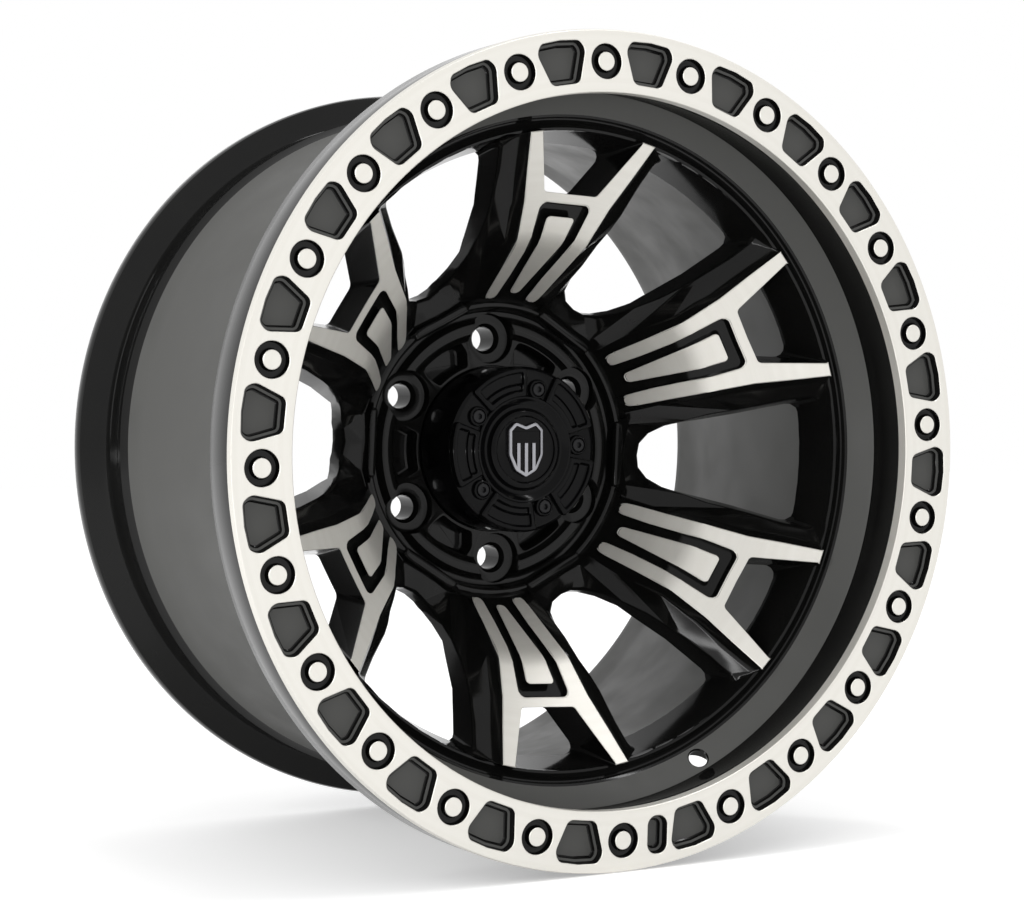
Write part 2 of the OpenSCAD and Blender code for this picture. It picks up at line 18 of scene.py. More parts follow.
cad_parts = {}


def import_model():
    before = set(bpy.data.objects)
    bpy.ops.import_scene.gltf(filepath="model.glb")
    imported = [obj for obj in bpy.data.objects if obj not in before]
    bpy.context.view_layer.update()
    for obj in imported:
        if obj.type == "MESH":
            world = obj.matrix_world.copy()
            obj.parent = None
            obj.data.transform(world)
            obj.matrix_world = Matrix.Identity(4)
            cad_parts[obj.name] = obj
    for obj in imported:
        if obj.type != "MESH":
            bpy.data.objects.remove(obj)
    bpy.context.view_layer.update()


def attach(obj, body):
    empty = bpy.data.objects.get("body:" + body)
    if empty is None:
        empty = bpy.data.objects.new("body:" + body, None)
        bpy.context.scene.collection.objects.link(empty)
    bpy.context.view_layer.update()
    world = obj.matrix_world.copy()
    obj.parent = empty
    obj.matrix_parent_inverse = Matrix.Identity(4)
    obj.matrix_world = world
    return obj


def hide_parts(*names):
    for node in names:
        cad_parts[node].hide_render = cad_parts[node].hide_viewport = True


LOG = logging.getLogger("wheel")
HALF_WIDTH = 139.0
STAND = Matrix(
    (
        (0.001, 0.0, 0.0, 0.0),
        (0.0, 0.0, -0.001, -HALF_WIDTH / 1000.0),
        (0.0, 0.001, 0.0, 0.0),
        (0.0, 0.0, 0.0, 1.0),
    )
)
Point = tuple[float, float]
Corner = tuple[float, float, float]
Ring = list[Corner]
Socket = bpy.types.NodeSocket
FINE = 360
SHARP_ANGLE = 28.0
WELD = 1e-3
WHITE = (1.0, 1.0, 1.0, 1.0)
PAPER = (0.88, 0.88, 0.88, 1.0)


class Finish(Enum):
    """The finishes a piece can carry; the value is its place among the piece's material slots."""

    PAINT = 0
    TURNED = 1
    # Third slot. On the casting it is a lighter grey copy of the black paint, a painted reflection of the
    # bright surroundings in the well, bore, band and pocket floors. On the badge it is the badge's own dark
    # field.
    PAINTED_SHEEN_AND_FIELD = 2


def clockwise(angle: float) -> Matrix:
    """Turn about the wheel axis, in degrees, clockwise from the front."""
    return Matrix.Rotation(-math.radians(angle), 4, "Z")


def polar(radius: float, angle: float) -> Point:
    """Point at a radius and an angle clockwise from the top."""
    a = math.radians(angle)
    return radius * math.sin(a), radius * math.cos(a)


def between(value: float, table: Sequence[Point]) -> float:
    """Linear lookup in a table of rising keys.

    Args:
        value: the key to look up.
        table: pairs of key and value.

    Returns:
        The value at that key, held constant past both ends.
    """
    if value <= table[0][0]:
        return table[0][1]
    for (k0, v0), (k1, v1) in zip(table, table[1:]):
        if value <= k1:
            return v0 + (v1 - v0) * (value - k0) / (k1 - k0)
    return table[-1][1]


def rounded(corners: Sequence[Corner], steps: int = 4) -> list[Point]:
    """Rounds each corner of a closed outline.

    Args:
        corners: x, y and corner radius of each corner.
        steps: straight pieces in each rounded corner.

    Returns:
        The outline with its corners rounded.
    """
    out: list[Point] = []
    for i, (x, y, r) in enumerate(corners):
        here = Vector((x, y))
        u = (Vector(corners[i - 1][:2]) - here).normalized()
        v = (Vector(corners[(i + 1) % len(corners)][:2]) - here).normalized()
        half = math.acos(max(-1.0, min(1.0, u.dot(v)))) / 2
        if r <= 0 or half > math.radians(88):
            out.append((x, y))
            continue
        reach = r / math.tan(half)
        middle = here + (u + v).normalized() * (r / math.sin(half))
        start, end = here + u * reach - middle, here + v * reach - middle
        for k in range(steps + 1):
            way = (start * (1 - k / steps) + end * (k / steps)).normalized() * r
            out.append(((middle + way).x, (middle + way).y))
    return out


def mirrored(half: Sequence[Corner]) -> list[Corner]:
    """Whole outline from its right half, whose first and last corners lie on the axis."""
    return list(half) + [(-x, y, r) for x, y, r in reversed(half[1:-1])]


def grown(outline: Sequence[Point], by: float) -> list[Point]:
    """Offsets a counter-clockwise outline outwards by a small step, corner for corner."""
    out: list[Point] = []
    for i, (x, y) in enumerate(outline):
        here = Vector((x, y))
        a = (here - Vector(outline[i - 1])).normalized()
        b = (Vector(outline[(i + 1) % len(outline)]) - here).normalized()
        na, nb = Vector((a.y, -a.x)), Vector((b.y, -b.x))
        n = (na + nb).normalized()
        p = here + n * (by / max(0.35, n.dot(na)))
        out.append((p.x, p.y))
    return out


def spread(count: int, first: float = 0.0) -> list[float]:
    """Angles of so many places spaced evenly round the wheel, from the first one on."""
    return [first + k * 360 / count for k in range(count)]


def softened(
    rings: Sequence[Ring],
    finishes: Sequence[Finish],
    reach: dict[int, float],
    steps: int = 3,
) -> tuple[list[Ring], list[Finish]]:
    """Rounds the edges along chosen rings of a loft.

    Args:
        rings: the rings from the top down, of equal counts.
        finishes: finish of each band between them.
        reach: how far the rounding goes up and down from a ring, by the ring's number.
        steps: straight pieces across each rounding.

    Returns:
        The rings with each chosen one replaced by a few, and the finishes to match.
    """
    out: list[Ring] = []
    bands: list[Finish] = []
    for k, ring in enumerate(rings):
        band = finishes[k] if k < len(finishes) else Finish.PAINT
        if k not in reach:
            out.append(list(ring))
            bands.append(band)
            continue
        arcs: list[list[Vector]] = []
        for i, point in enumerate(ring):
            p = Vector(point)
            ways = [Vector(rings[k + side][i]) - p for side in (-1, 1)]
            a, b = [p + way * min(0.42, reach[k] / max(way.length, 1e-6)) for way in ways]
            parts = [j / steps for j in range(steps + 1)]
            arcs.append([a * (1 - t) ** 2 + p * (2 * t * (1 - t)) + b * t**2 for t in parts])
        for j in range(steps + 1):
            out.append([tuple(arc[j]) for arc in arcs])
            bands.append(band)
    return out, bands


class Solid:
    """A closed bmesh in the wheel's frame that can be cut and joined."""

    def __init__(self, name: str) -> None:
        """Starts an empty solid."""
        self.name = name
        self.bm = bmesh.new()

    def revolve(self, profile: Sequence[Point], steps: int, closed: bool = True) -> "Solid":
        """Spins a profile of radius and height about the wheel axis.

        Args:
            profile: corners of the profile, as radius and z.
            steps: pieces in a full turn.
            closed: whether the last corner joins the first.

        Returns:
            This solid.
        """
        verts = [self.bm.verts.new((r, 0.0, z)) for r, z in profile]
        pairs = list(zip(verts, verts[1:])) + ([(verts[-1], verts[0])] if closed else [])
        edges = [self.bm.edges.new(pair) for pair in pairs]
        bmesh.ops.spin(
            self.bm,
            geom=verts + edges,
            cent=(0, 0, 0),
            axis=(0, 0, 1),
            angle=2 * math.pi,
            steps=steps,
            use_merge=True,
        )
        bmesh.ops.remove_doubles(self.bm, verts=self.bm.verts[:], dist=1e-4)
        bmesh.ops.recalc_face_normals(self.bm, faces=self.bm.faces[:])
        return self

    def loft(
        self,
        rings: Sequence[Ring],
        finishes: Sequence[Finish] = (),
    ) -> "Solid":
        """Extrudes one outline through a stack of others of the same count.

        Args:
            rings: outlines as x, y and z, from the top down; the first and last are flat.
            finishes: finish of each band of walls, paint where none is given.

        Returns:
            This solid.
        """
        tag = self.bm.verts.layers.int.get("ring") or self.bm.verts.layers.int.new("ring")
        verts = [self.bm.verts.new(p) for p in rings[0]]
        for i, v in enumerate(verts):
            v[tag] = i
        cap = self.bm.faces.new(verts)
        for k, ring in enumerate(rings[1:]):
            last = cap
            extruded = bmesh.ops.extrude_face_region(self.bm, geom=[last])["geom"]
            cap = next(g for g in extruded if isinstance(g, bmesh.types.BMFace))
            for v in cap.verts:
                v.co = ring[v[tag]]
            if k and last.is_valid:
                bmesh.ops.delete(self.bm, geom=[last], context="FACES_ONLY")
            finish = finishes[k] if k < len(finishes) else Finish.PAINT
            for f in {f for e in cap.edges for f in e.link_faces if f is not cap}:
                f.material_index = finish.value
        bmesh.ops.recalc_face_normals(self.bm, faces=self.bm.faces[:])
        return self

    def prism(self, outline: Sequence[Point], top: float, bottom: float) -> "Solid":
        """Extrudes a flat outline between two heights."""
        return self.loft([[(x, y, top) for x, y in outline], [(x, y, bottom) for x, y in outline]])

    def stepped(
        self,
        outline: Sequence[Point],
        levels: Sequence[Point],
        finishes: Sequence[Finish] = (),
    ) -> "Solid":
        """Lofts one outline through levels that let it grow or shrink.

        Args:
            outline: the outline, counter-clockwise.
            levels: growth of the outline and height of each level, from the top down.
            finishes: finish of each band of walls.

        Returns:
            This solid.
        """
        return self.loft([[(x, y, z) for x, y in grown(outline, by)] for by, z in levels], finishes)

    def turned(self, matrix: Matrix) -> "Solid":
        """Moves the whole solid by a matrix."""
        bmesh.ops.transform(self.bm, matrix=matrix, verts=self.bm.verts[:])
        return self

    def repeated(self, angles: Iterable[float]) -> "Solid":
        """Copies the solid round the wheel axis, once at each angle, in place of itself."""
        source = self.bm.verts[:] + self.bm.edges[:] + self.bm.faces[:]
        for angle in angles:
            copy = bmesh.ops.duplicate(self.bm, geom=source)["geom"]
            verts = [g for g in copy if isinstance(g, bmesh.types.BMVert)]
            bmesh.ops.transform(self.bm, matrix=clockwise(angle), verts=verts)
        verts = [g for g in source if isinstance(g, bmesh.types.BMVert)]
        bmesh.ops.delete(self.bm, geom=verts, context="VERTS")
        return self

    def tint(self, test: Callable[[Vector, Vector], Finish | None]) -> "Solid":
        """Gives each face the finish that a test on its middle and normal returns, unless None."""
        self.bm.faces.ensure_lookup_table()
        self.bm.normal_update()
        for f in self.bm.faces:
            finish = test(f.calc_center_median(), f.normal)
            if finish is not None:
                f.material_index = finish.value
        return self

    def to_object(self, name: str | None = None) -> bpy.types.Object:
        """Makes a linked object of the solid, still in the wheel's frame."""
        mesh = bpy.data.meshes.new(name or self.name)
        self.bm.to_mesh(mesh)
        obj = bpy.data.objects.new(name or self.name, mesh)
        bpy.context.scene.collection.objects.link(obj)
        for _ in Finish:
            obj.data.materials.append(None)
        return obj

    def combine(self, other: "Solid", how: str) -> "Solid":
        """Boolean with another solid.

        Args:
            other: the second solid.
            how: DIFFERENCE, UNION or INTERSECT.

        Returns:
            This solid, changed.
        """
        a, b = self.to_object(), other.to_object()
        mod = a.modifiers.new("boolean", "BOOLEAN")
        mod.operation, mod.object, mod.solver = how, b, "MANIFOLD"
        bpy.context.view_layer.update()
        result = bpy.data.meshes.new_from_object(a.evaluated_get(bpy.context.evaluated_depsgraph_get()))
        before = len(self.bm.faces)
        self.bm.clear()
        self.bm.from_mesh(result)
        for obj in (a, b):
            mesh = obj.data
            bpy.data.objects.remove(obj)
            bpy.data.meshes.remove(mesh)
        bpy.data.meshes.remove(result)
        LOG.info("%s %s %s: %d faces to %d", self.name, how, other.name, before, len(self.bm.faces))
        return self

    def cut(self, other: "Solid") -> "Solid":
        """Takes the other solid away."""
        return self.combine(other, "DIFFERENCE")

    def join(self, other: "Solid") -> "Solid":
        """Adds the other solid."""
        return self.combine(other, "UNION")


@dataclass(frozen=True)
class SpokeFace:
    """Surface of revolution that the spoke faces are turned to, and the levels below it."""

    tip_r: float = 191.0
    tip_z: float = -46.5
    bend_r: float = 128.0
    bend_z: float = -92.0
    root_r: float = 93.5
    root_z: float = -144.5
    shoulder_z: float = -148.5
    ledge_drop: float = 7.0
    ledge_fall: float = 7.0

    def top(self, r: float) -> float:
        """Height of the turned face at a radius."""
        if r > self.bend_r:
            return self.tip_z - (self.tip_r - r) * (self.tip_z - self.bend_z) / (self.tip_r - self.bend_r)
        return self.bend_z - (self.bend_r - r) * (self.bend_z - self.root_z) / (self.bend_r - self.root_r)

    def ledge(self, r: float) -> float:
        """Height of the ledge beside a leg, where it meets the leg's wall."""
        table = (
            (self.root_r + 2.5, self.shoulder_z - 1), (self.root_r + 16.5, self.shoulder_z + 9.5),
            (self.bend_r, self.bend_z - self.ledge_drop - 1), (self.tip_r, self.tip_z - self.ledge_drop),
        )
        return between(r, table)

    def foot(self, r: float) -> float:
        """Height of the ledge's outer edge, where it drops into the window."""
        table = (
            (self.root_r + 15.5, self.shoulder_z - 2.4), (self.bend_r, self.bend_z - 26.0),
            (self.bend_r + 22.0, self.bend_z + 9.0 - self.ledge_fall),
            (self.tip_r, self.tip_z - self.ledge_drop - self.ledge_fall),
        )
        return between(r, table)

    def back(self, r: float) -> float:
        """Height of the back of the spokes."""
        table = (
            (84.0, -182.0), (100.0, -172.0), (112.0, -160.0), (self.bend_r, -131.0), (155.0, -103.0),
            (193.0, -80.0),
        )
        return between(r, table)


@dataclass
class Spokes:
    """Six forked spokes, each an A of turned faces with a groove round an island."""

    face: SpokeFace = field(default_factory=SpokeFace)
    count: int = 6
    turn: float = 2.9
    bar_r: float = 155.4
    bar_w: float = 5.6
    bar_half: float = 18.3
    tip_half: float = 43.2
    tip_w: float = 8.4
    root_half: float = 18.6
    root_w: float = 8.4
    island_r: float = 142.3
    island_half: float = 9.9
    end_r: float = 23.0
    end_pos: float = 131.4
    window_half: float = 39.0
    ledge_step: float = 4.2
    groove: float = 6.0
    edge: float = 0.5
    paint_to: float = 95.7
    open_z: float = -40.0
    window_end: float = -200.0
    fork_end: float = -130.0
    groove_end: float = -175.0

    def leg_edge(self) -> list[Point]:
        """Outer edge of a leg pair, right side, from the hub to the rim."""
        tip, root = self.face.tip_r, self.face.root_r
        return [
            (self.root_half, root), (self.root_half + 2.9, root + 17.5),
            (self.root_half + 5.9, root + 33.5), (self.tip_half - 13.2, self.face.bend_r + 21.0),
            (self.tip_half - 6.7, tip - 24.5),
            (self.tip_half, math.sqrt(tip**2 - self.tip_half**2)),
        ]

    def body(self) -> Solid:
        """The disc that all spokes are cut from, with its front turned."""
        f = self.face
        profile = [
            (f.root_r - 4.5, f.shoulder_z - 4), (f.root_r - 3, f.top(f.root_r - 3) - 0.3),
            (f.root_r, f.top(f.root_r)), (110.0, f.top(110.0)), (f.bend_r - 5, f.top(f.bend_r - 5)),
            (f.bend_r - 2, f.top(f.bend_r - 2) - 0.45), (f.bend_r + 0.6, f.top(f.bend_r) - 0.6),
            (f.bend_r + 3, f.top(f.bend_r + 3) - 0.25), (f.bend_r + 6, f.top(f.bend_r + 6)),
            (150.0, f.top(150.0)), (170.0, f.top(170.0)), (f.tip_r - 0.5, f.top(f.tip_r - 0.5)),
            (f.tip_r, f.top(f.tip_r) - 0.5), (f.tip_r, -56.0), (194.5, -57.0), (194.5, -79.0),
            (187.0, f.back(187.0)), (170.0, f.back(170.0)), (155.0, f.back(155.0)),
            (140.0, f.back(140.0)), (128.0, f.back(128.0)), (112.0, f.back(112.0)),
            (100.0, f.back(100.0)), (f.root_r - 3.5, f.back(f.root_r - 3.5)),
            (f.root_r - 4.5, f.shoulder_z - 16),
        ]
        disc = Solid("spokes").revolve(profile, FINE)

        def front(middle: Vector, normal: Vector) -> Finish | None:
            """Turned where the face looks forward at the height of the spoke faces."""
            r = math.hypot(middle.x, middle.y)
            on_face = f.root_r - 2.9 < r < f.tip_r and middle.z > f.top(r) - 1.2 and normal.z > 0.3
            return Finish.TURNED if on_face else Finish.PAINT

        return disc.tint(front)

    def window_outline(self, level: int) -> list[Point]:
        """Outline of a window: 0 at the leg edges, 1 at the ledge, 2 at its foot, 3 at the back."""
        turn_back = math.radians(-180 / self.count)
        c, s = math.cos(turn_back), math.sin(turn_back)
        legs = [(abs(x * c + y * s), y * c - x * s) for x, y in self.leg_edge()]
        corners: list[Corner] = []
        if level < 2:
            d = self.ledge_step if level else 0.0
            r1 = self.face.tip_r + 0.6 - d * 0.15
            start = self.face.root_r - 0.5 + d * 0.3
            corners.append((0.0, start - 1.0, 0.0))
            corners.append((20.0 - d * 0.3, start, 5.0))
            corners += [(x - d * 0.96, y + d * 0.25, 0.0) for x, y in legs[:5]]
            x5 = legs[5][0] - d
            corners.append((x5, math.sqrt(r1**2 - x5**2), 1.5))
            corners += [(*polar(r1, a), 0.0) for a in (10, 5, 0)]
        else:
            o = self.ledge_step if level == 2 else 0.0
            re = self.end_r + o * 0.5
            rr = self.face.tip_r - (0.0 if level == 2 else 4.0)
            sin72, cos72 = math.sin(math.radians(72)), math.cos(math.radians(72))
            low = self.end_pos - self.end_r * cos72
            slope = (self.window_half - self.end_r * sin72) / (self.face.tip_r - 9.0 - low)
            for a in range(0, 73, 18):
                x, y = polar(re, a)
                corners.append((x, self.end_pos - y, 0.0))
            for y in (self.end_pos + 2.6 + k * 8.5 for k in range(5)):
                corners.append((self.end_r * sin72 + o + slope * (y - low), y, 0.0))
            x = self.window_half + o
            corners.append((x, math.sqrt(rr**2 - x**2), 6.0))
            corners += [(*polar(rr, a), 0.0) for a in (8, 4, 0)]
        return rounded(mirrored(corners), 3)

    def window_cutter(self) -> Solid:
        """Cutter of one window, straight up, with its chamfered edge and sloped ledge."""
        f = self.face
        outlines = [self.window_outline(k) for k in range(4)]
        wide = grown(outlines[0], self.edge)

        def wall(p: Point) -> float:
            """Height at which the leg wall starts."""
            r = math.hypot(*p)
            return max(f.ledge(r) + 1.5, f.top(min(r, f.tip_r - 1.0)) - 2)

        def chamfer(p: Point, drop: float) -> float:
            """Height of the chamfer on the turned face."""
            return max(f.top(min(math.hypot(*p), f.tip_r)) - drop, wall(p) + 1.2 - drop)

        rings = [
            [(x, y, f.tip_z + 2.5) for x, y in wide],
            [(*w, chamfer(p, -0.03)) for w, p in zip(wide, outlines[0])],
            [(*p, chamfer(p, self.edge)) for p in outlines[0]],
            [(*p, wall(p)) for p in outlines[0]],
            [(*p, f.ledge(math.hypot(*p))) for p in outlines[1]],
            [(*p, f.foot(math.hypot(*p))) for p in outlines[2]],
            [(*p, f.back(max(math.hypot(*p), f.root_r + 15.5)) - 1) for p in outlines[3]],
            [(*p, self.window_end) for p in outlines[3]],
        ]
        reach = {3: 0.8, 4: 1.8, 5: 2.4}
        return Solid("window").loft(*softened(rings, [Finish.PAINT, Finish.TURNED], reach))

    def fork_cutter(self) -> Solid:
        """Cutter of the window between the two legs of a spoke, wider at the front."""
        f = self.face
        leg = self.tip_half - self.tip_w + 0.7
        front = [
            (0.0, self.bar_r, 0.0), (self.bar_half, self.bar_r, 3.0), (leg, 188.3, 1.5), (24.0, 190.2, 0.0),
            (12.0, 191.3, 0.0), (0.0, 191.7, 0.0),
        ]
        rear = [
            (0.0, self.bar_r + 3, 0.0), (13.6, self.bar_r + 3, 5.0), (27.5, 182.6, 5.0),
            (20.0, 185.6, 0.0), (10.0, 186.7, 0.0), (0.0, 187.0, 0.0),
        ]
        top, low = rounded(mirrored(front)), rounded(mirrored(rear))
        wide = grown(top, self.edge)

        def level(p: Point, drop: float) -> float:
            """Height below the turned face."""
            return f.top(min(math.hypot(*p), f.tip_r)) - drop

        rings = [
            [(x, y, self.open_z) for x, y in wide],
            [(*w, level(p, -0.03)) for w, p in zip(wide, top)],
            [(*p, level(p, self.edge)) for p in top],
            [(*p, level(p, 1.5)) for p in top],
            [(*p, f.back(math.hypot(*p)) - 1) for p in low],
            [(*p, self.fork_end) for p in low],
        ]
        return Solid("fork").loft(rings, [Finish.PAINT, Finish.TURNED])

    def groove_cutter(self) -> Solid:
        """Cutter of the groove that runs round the island and out to the hub."""
        f = self.face
        c = self.bar_r - self.bar_w
        e = self.leg_edge()
        inner = e[0][0] - self.root_w + 0.4
        channel = rounded(
            mirrored(
                [
                    (0.0, 80.0, 0.0), (26.0, 80.0, 0.0), (24.0, 96.0, 0.0), (e[0][0] + 0.4, 97.5, 0.0),
                    (e[0][0], e[0][1], 3.4), (inner, e[0][1], 3.4), (11.5, 108.0, 10.0),
                    (13.4, 121.0, 10.0), (15.3, 130.0, 10.0), (17.8, c, 4.2), (0.0, c, 0.0),
                ]
            )
        )
        island = rounded(
            [
                (-3.1, 98.4, 2.6), (3.1, 98.4, 2.6), (5.0, 109.0, 8.0), (6.6, 118.0, 8.0),
                (8.2, 127.5, 8.0), (self.island_half, self.island_r, 2.4),
                (-self.island_half, self.island_r, 2.4), (-8.2, 127.5, 8.0), (-6.6, 118.0, 8.0),
                (-5.0, 109.0, 8.0),
            ]
        )

        def face_band(outline: Sequence[Point], by: float) -> list[Ring]:
            """Rings that carry a chamfer of the turned face down an outline."""
            wide = grown(outline, by)
            return [
                [(x, y, self.open_z) for x, y in wide],
                [(*w, f.top(math.hypot(*p)) + 0.03) for w, p in zip(wide, outline)],
                [(*p, f.top(math.hypot(*p)) - self.edge) for p in outline],
                [(x, y, self.groove_end) for x, y in outline],
            ]

        bands = [Finish.PAINT, Finish.TURNED]
        cutter = Solid("groove").loft(face_band(channel, self.edge), bands)
        cutter.cut(Solid("island").loft(face_band(island, -self.edge), bands))
        g, inside, over = self.groove, f.root_r - 13.5, self.open_z + 4.0
        above = [
            (inside, over), (inside, f.shoulder_z + 0.4), (f.root_r - 7.5, f.shoulder_z + 0.4),
            (f.root_r - 1, f.top(f.root_r) - g), (f.bend_r - 5, f.top(f.bend_r - 5) - g),
            (f.bend_r + 1, f.top(f.bend_r) - g - 0.4), (f.bend_r + 6, f.top(f.bend_r + 6) - g),
            (self.bar_r + 2, f.top(self.bar_r + 2) - g), (self.bar_r + 2, over),
        ]
        return cutter.combine(Solid("above the floor").revolve(above, FINE), "INTERSECT")

    def build(self) -> Solid:
        """The six spokes as one solid."""
        body = self.body()
        own = spread(self.count, self.turn)
        body.cut(self.window_cutter().repeated([angle + 180 / self.count for angle in own]))
        body.cut(self.fork_cutter().repeated(own))
        body.cut(self.groove_cutter().repeated(own))
        return body

    def paint_root(self, whole: Solid) -> None:
        """Paints the slivers of the turned disc that stand between the spokes' inner ends."""

        def sliver(middle: Vector, normal: Vector) -> Finish | None:
            """Paint close to the hub, nothing anywhere else."""
            near = math.hypot(middle.x, middle.y) < self.paint_to
            return Finish.PAINT if near and middle.z < self.face.root_z + 4.5 else None

        whole.tint(sliver)


@dataclass
class Rim:
    """Barrel, lip and front ring with its cast-in discs and pockets."""

    outer_r: float = 244.0
    inner_r: float = 207.6
    depth: float = 30.0
    width: float = 278.0
    bead_r: float = 218.3
    flange_r: float = 235.8
    drop_r: float = 200.0
    wall: float = 6.5
    discs: int = 24
    disc_pitch: float = 14.8
    disc_turn: float = -2.7
    disc_circle_r: float = 225.2
    disc_r: float = 5.4
    groove_r: float = 10.2
    groove_depth: float = 4.5
    pocket_h: float = 25.0
    pocket_in: float = 9.25
    pocket_out: float = 16.25
    pocket_depth: float = 7.0
    slot_w: float = 6.8
    slot_h: float = 11.25
    slot_turn: float = 6.0
    slot_lean: float = 8.0
    valve_turn: float = 156.4
    valve_r: float = 5.75
    valve_lean: float = 136.58
    valve_at: Point = (206.2, -43.92)
    valve_wall: float = 4.0
    relief_r: float = 13.5
    well_z: Point = (-226.0, -56.0)
    band_z: Point = (-49.7, -37.5)
    bore_front: float = -82.0

    def shell(self) -> Solid:
        """Spins the whole rim from its profile and marks the turned ring."""
        b, d, i, w, z = self.bead_r, self.depth, self.inner_r, self.wall, -self.width
        profile = [
            (i + 0.4, 0.0), (self.outer_r - 1.2, 0.0), (self.outer_r - 0.9, -0.2),
            (self.outer_r - 0.05, -3.0), (self.outer_r, -3.4), (self.outer_r, -d + 3),
            (self.outer_r - 0.9, -d + 0.9), (self.outer_r - 3, -d), (b + 4, -d - 0.5),
            (b + 1, -d - 1.7), (b, -d - 4.5), (b, -d - 22), (b + 1.2, -d - 24.2), (b + 1.2, -d - 26),
            (b - 1, -d - 29), (self.drop_r + 5, -d - 44), (self.drop_r + 1.2, -d - 47.6),
            (self.drop_r, -d - 52), (self.drop_r, -d - 96), (self.drop_r + 0.6, -d - 108), (b - 7, z + 60),
            (b - 2, z + 47), (b + 1.4, z + 42), (b + 1.4, z + 38), (b, z + 34), (b, z + 19),
            (b + 1.2, z + 15.4), (b + 4, z + 14), (self.flange_r - 3, z + 12),
            (self.flange_r - 0.8, z + 11), (self.flange_r, z + 9), (self.flange_r, z + 3),
            (self.flange_r - 0.6, z + 1.4), (self.flange_r - 2, z + 0.6), (self.flange_r - 6, z),
            (self.flange_r - 12, z), (b + 1, z + 5), (b - w + 3, z + 9), (b - w + 1, z + 16),
            (b - w, z + 36), (b - w - 7, z + 58), (self.drop_r - w, -d - 92), (self.drop_r - w, -d - 54),
            (i - 19.6, -79.5), (i - 21.6, -79.5), (i - 17.1, -55.0), (i - 16.4, -52.4),
            (i - 15.0, -51.6), (i - 11.4, -53.4), (i - 10.2, -53.5), (i - 9.4, -53.0),
            (i - 8.7, -50.6), (i - 7.4, -49.6), (i + 3.4, -d - 9.4), (i + 4.6, -d - 7.8),
            (i + 4.8, -d - 6.0), (i + 1.6, -8.5), (i + 1.0, -7.4), (i, -7.0), (i, -0.4),
        ]
        shell = Solid("rim").revolve(profile, FINE)

        def ring(middle: Vector, normal: Vector) -> Finish | None:
            """Turned on the ring's face, bore and outer edge; painted reflection, a lighter grey copy of the
            black paint, in the well, bore and lip.
            """
            r = math.hypot(middle.x, middle.y)
            if middle.z > -3.3 or (middle.z > -7.1 and r < self.inner_r + 0.5):
                return Finish.TURNED
            well = self.well_z[0] < middle.z < self.well_z[1] and r > self.drop_r - 0.2
            inside = r < self.bead_r - self.wall + 2.0 and normal.z > -0.5
            bore = middle.z < self.bore_front and inside
            band = self.band_z[0] < middle.z < self.band_z[1] and r < self.inner_r + 5.0
            # The well, the barrel's bore and the cone band take the lighter grey paint as a painted
            # reflection, not as a finish of their own.
            return Finish.PAINTED_SHEEN_AND_FIELD if well or bore or band else Finish.PAINT

        return shell.tint(ring)

    def angles(self, offset: float = 0.0) -> list[float]:
        """Angles of the discs, or of places further round, with the wide space after half of them."""
        wide = 360 - self.discs * self.disc_pitch
        first = self.disc_turn + offset
        steps = range(self.discs)
        return [first + k * self.disc_pitch + (wide if k >= self.discs // 2 else 0.0) for k in steps]

    def disc_grooves(self) -> Solid:
        """Cutter of the grooves that leave the discs standing."""
        a, b, d = self.disc_r, self.groove_r, self.groove_depth
        profile = [
            (a - 0.35, 1.0), (a - 0.35, 0.03), (a, -0.4), (a + 0.25, -d + 1), (a + 0.7, -d + 0.3),
            (a + 1.3, -d), (b - 1.3, -d), (b - 0.7, -d + 0.3), (b - 0.25, -d + 1), (b, -0.4),
            (b + 0.35, 0.03), (b + 0.35, 1.0),
        ]
        groove = Solid("disc grooves").revolve(profile, 40)

        def lip(middle: Vector, normal: Vector) -> Finish | None:
            """Turned on the two chamfers."""
            return Finish.TURNED if -0.3 < middle.z < 0.02 else Finish.PAINT

        groove.tint(lip)
        groove.turned(Matrix.Translation((0, self.disc_circle_r, 0)))
        return groove.repeated(self.angles())

    def stepped_pocket(self, name: str, outline: Sequence[Point]) -> Solid:
        """Cutter of one pocket: chamfer, drafted wall, shelf, and a deeper middle.

        Args:
            name: name of the cutter.
            outline: the pocket's edge on the ring face.

        Returns:
            The cutter.
        """
        d = self.pocket_depth
        levels = [
            (0.4, 1.0), (0.4, 0.03), (0.0, -0.4), (-0.5, -d * 0.5), (-1.0, -d * 0.62),
            (-2.4, -d * 0.67), (-2.8, -d * 0.74), (-3.1, -d * 0.93), (-3.7, -d),
        ]
        cutter = Solid(name).stepped(outline, levels, [Finish.PAINT, Finish.TURNED])

        def ground(middle: Vector, normal: Vector) -> Finish | None:
            """Painted reflection on the shelf and the floor: the lighter grey copy of the black paint."""
            return Finish.PAINTED_SHEEN_AND_FIELD if middle.z < -d * 0.6 and abs(normal.z) > 0.8 else None

        return cutter.tint(ground)

    def pockets(self) -> Solid:
        """Cutter of the pockets between the discs, and of the narrow one in the wide space."""
        h, wi, wo = self.pocket_h, self.pocket_in, self.pocket_out
        base = self.disc_circle_r - h / 2 + 0.2
        half = [
            (0.0, base, 0.0), (wi, base, 4.6), (wo, base + h * 0.76, 6.6),
            (wo - 3.6, base + h - 0.6, 4.2), (0.0, base + h + 0.4, 0.0),
        ]
        cutter = self.stepped_pocket("pockets", rounded(mirrored(half), 5))
        return cutter.repeated(self.angles(self.disc_pitch / 2))

    def slot_pocket(self) -> Solid:
        """Cutter of the narrow pocket in the wide space between two discs."""
        w, h = self.slot_w, self.slot_h
        outline = rounded([(x, y, w - 0.8) for x, y in ((-w, -h), (w, -h), (w, h), (-w, h))], 7)
        slot = self.stepped_pocket("slot", outline).turned(clockwise(self.slot_lean))
        slot.turned(Matrix.Translation((0, self.disc_circle_r, 0)))
        return slot.turned(clockwise(self.angles()[self.discs // 2] - self.slot_turn))

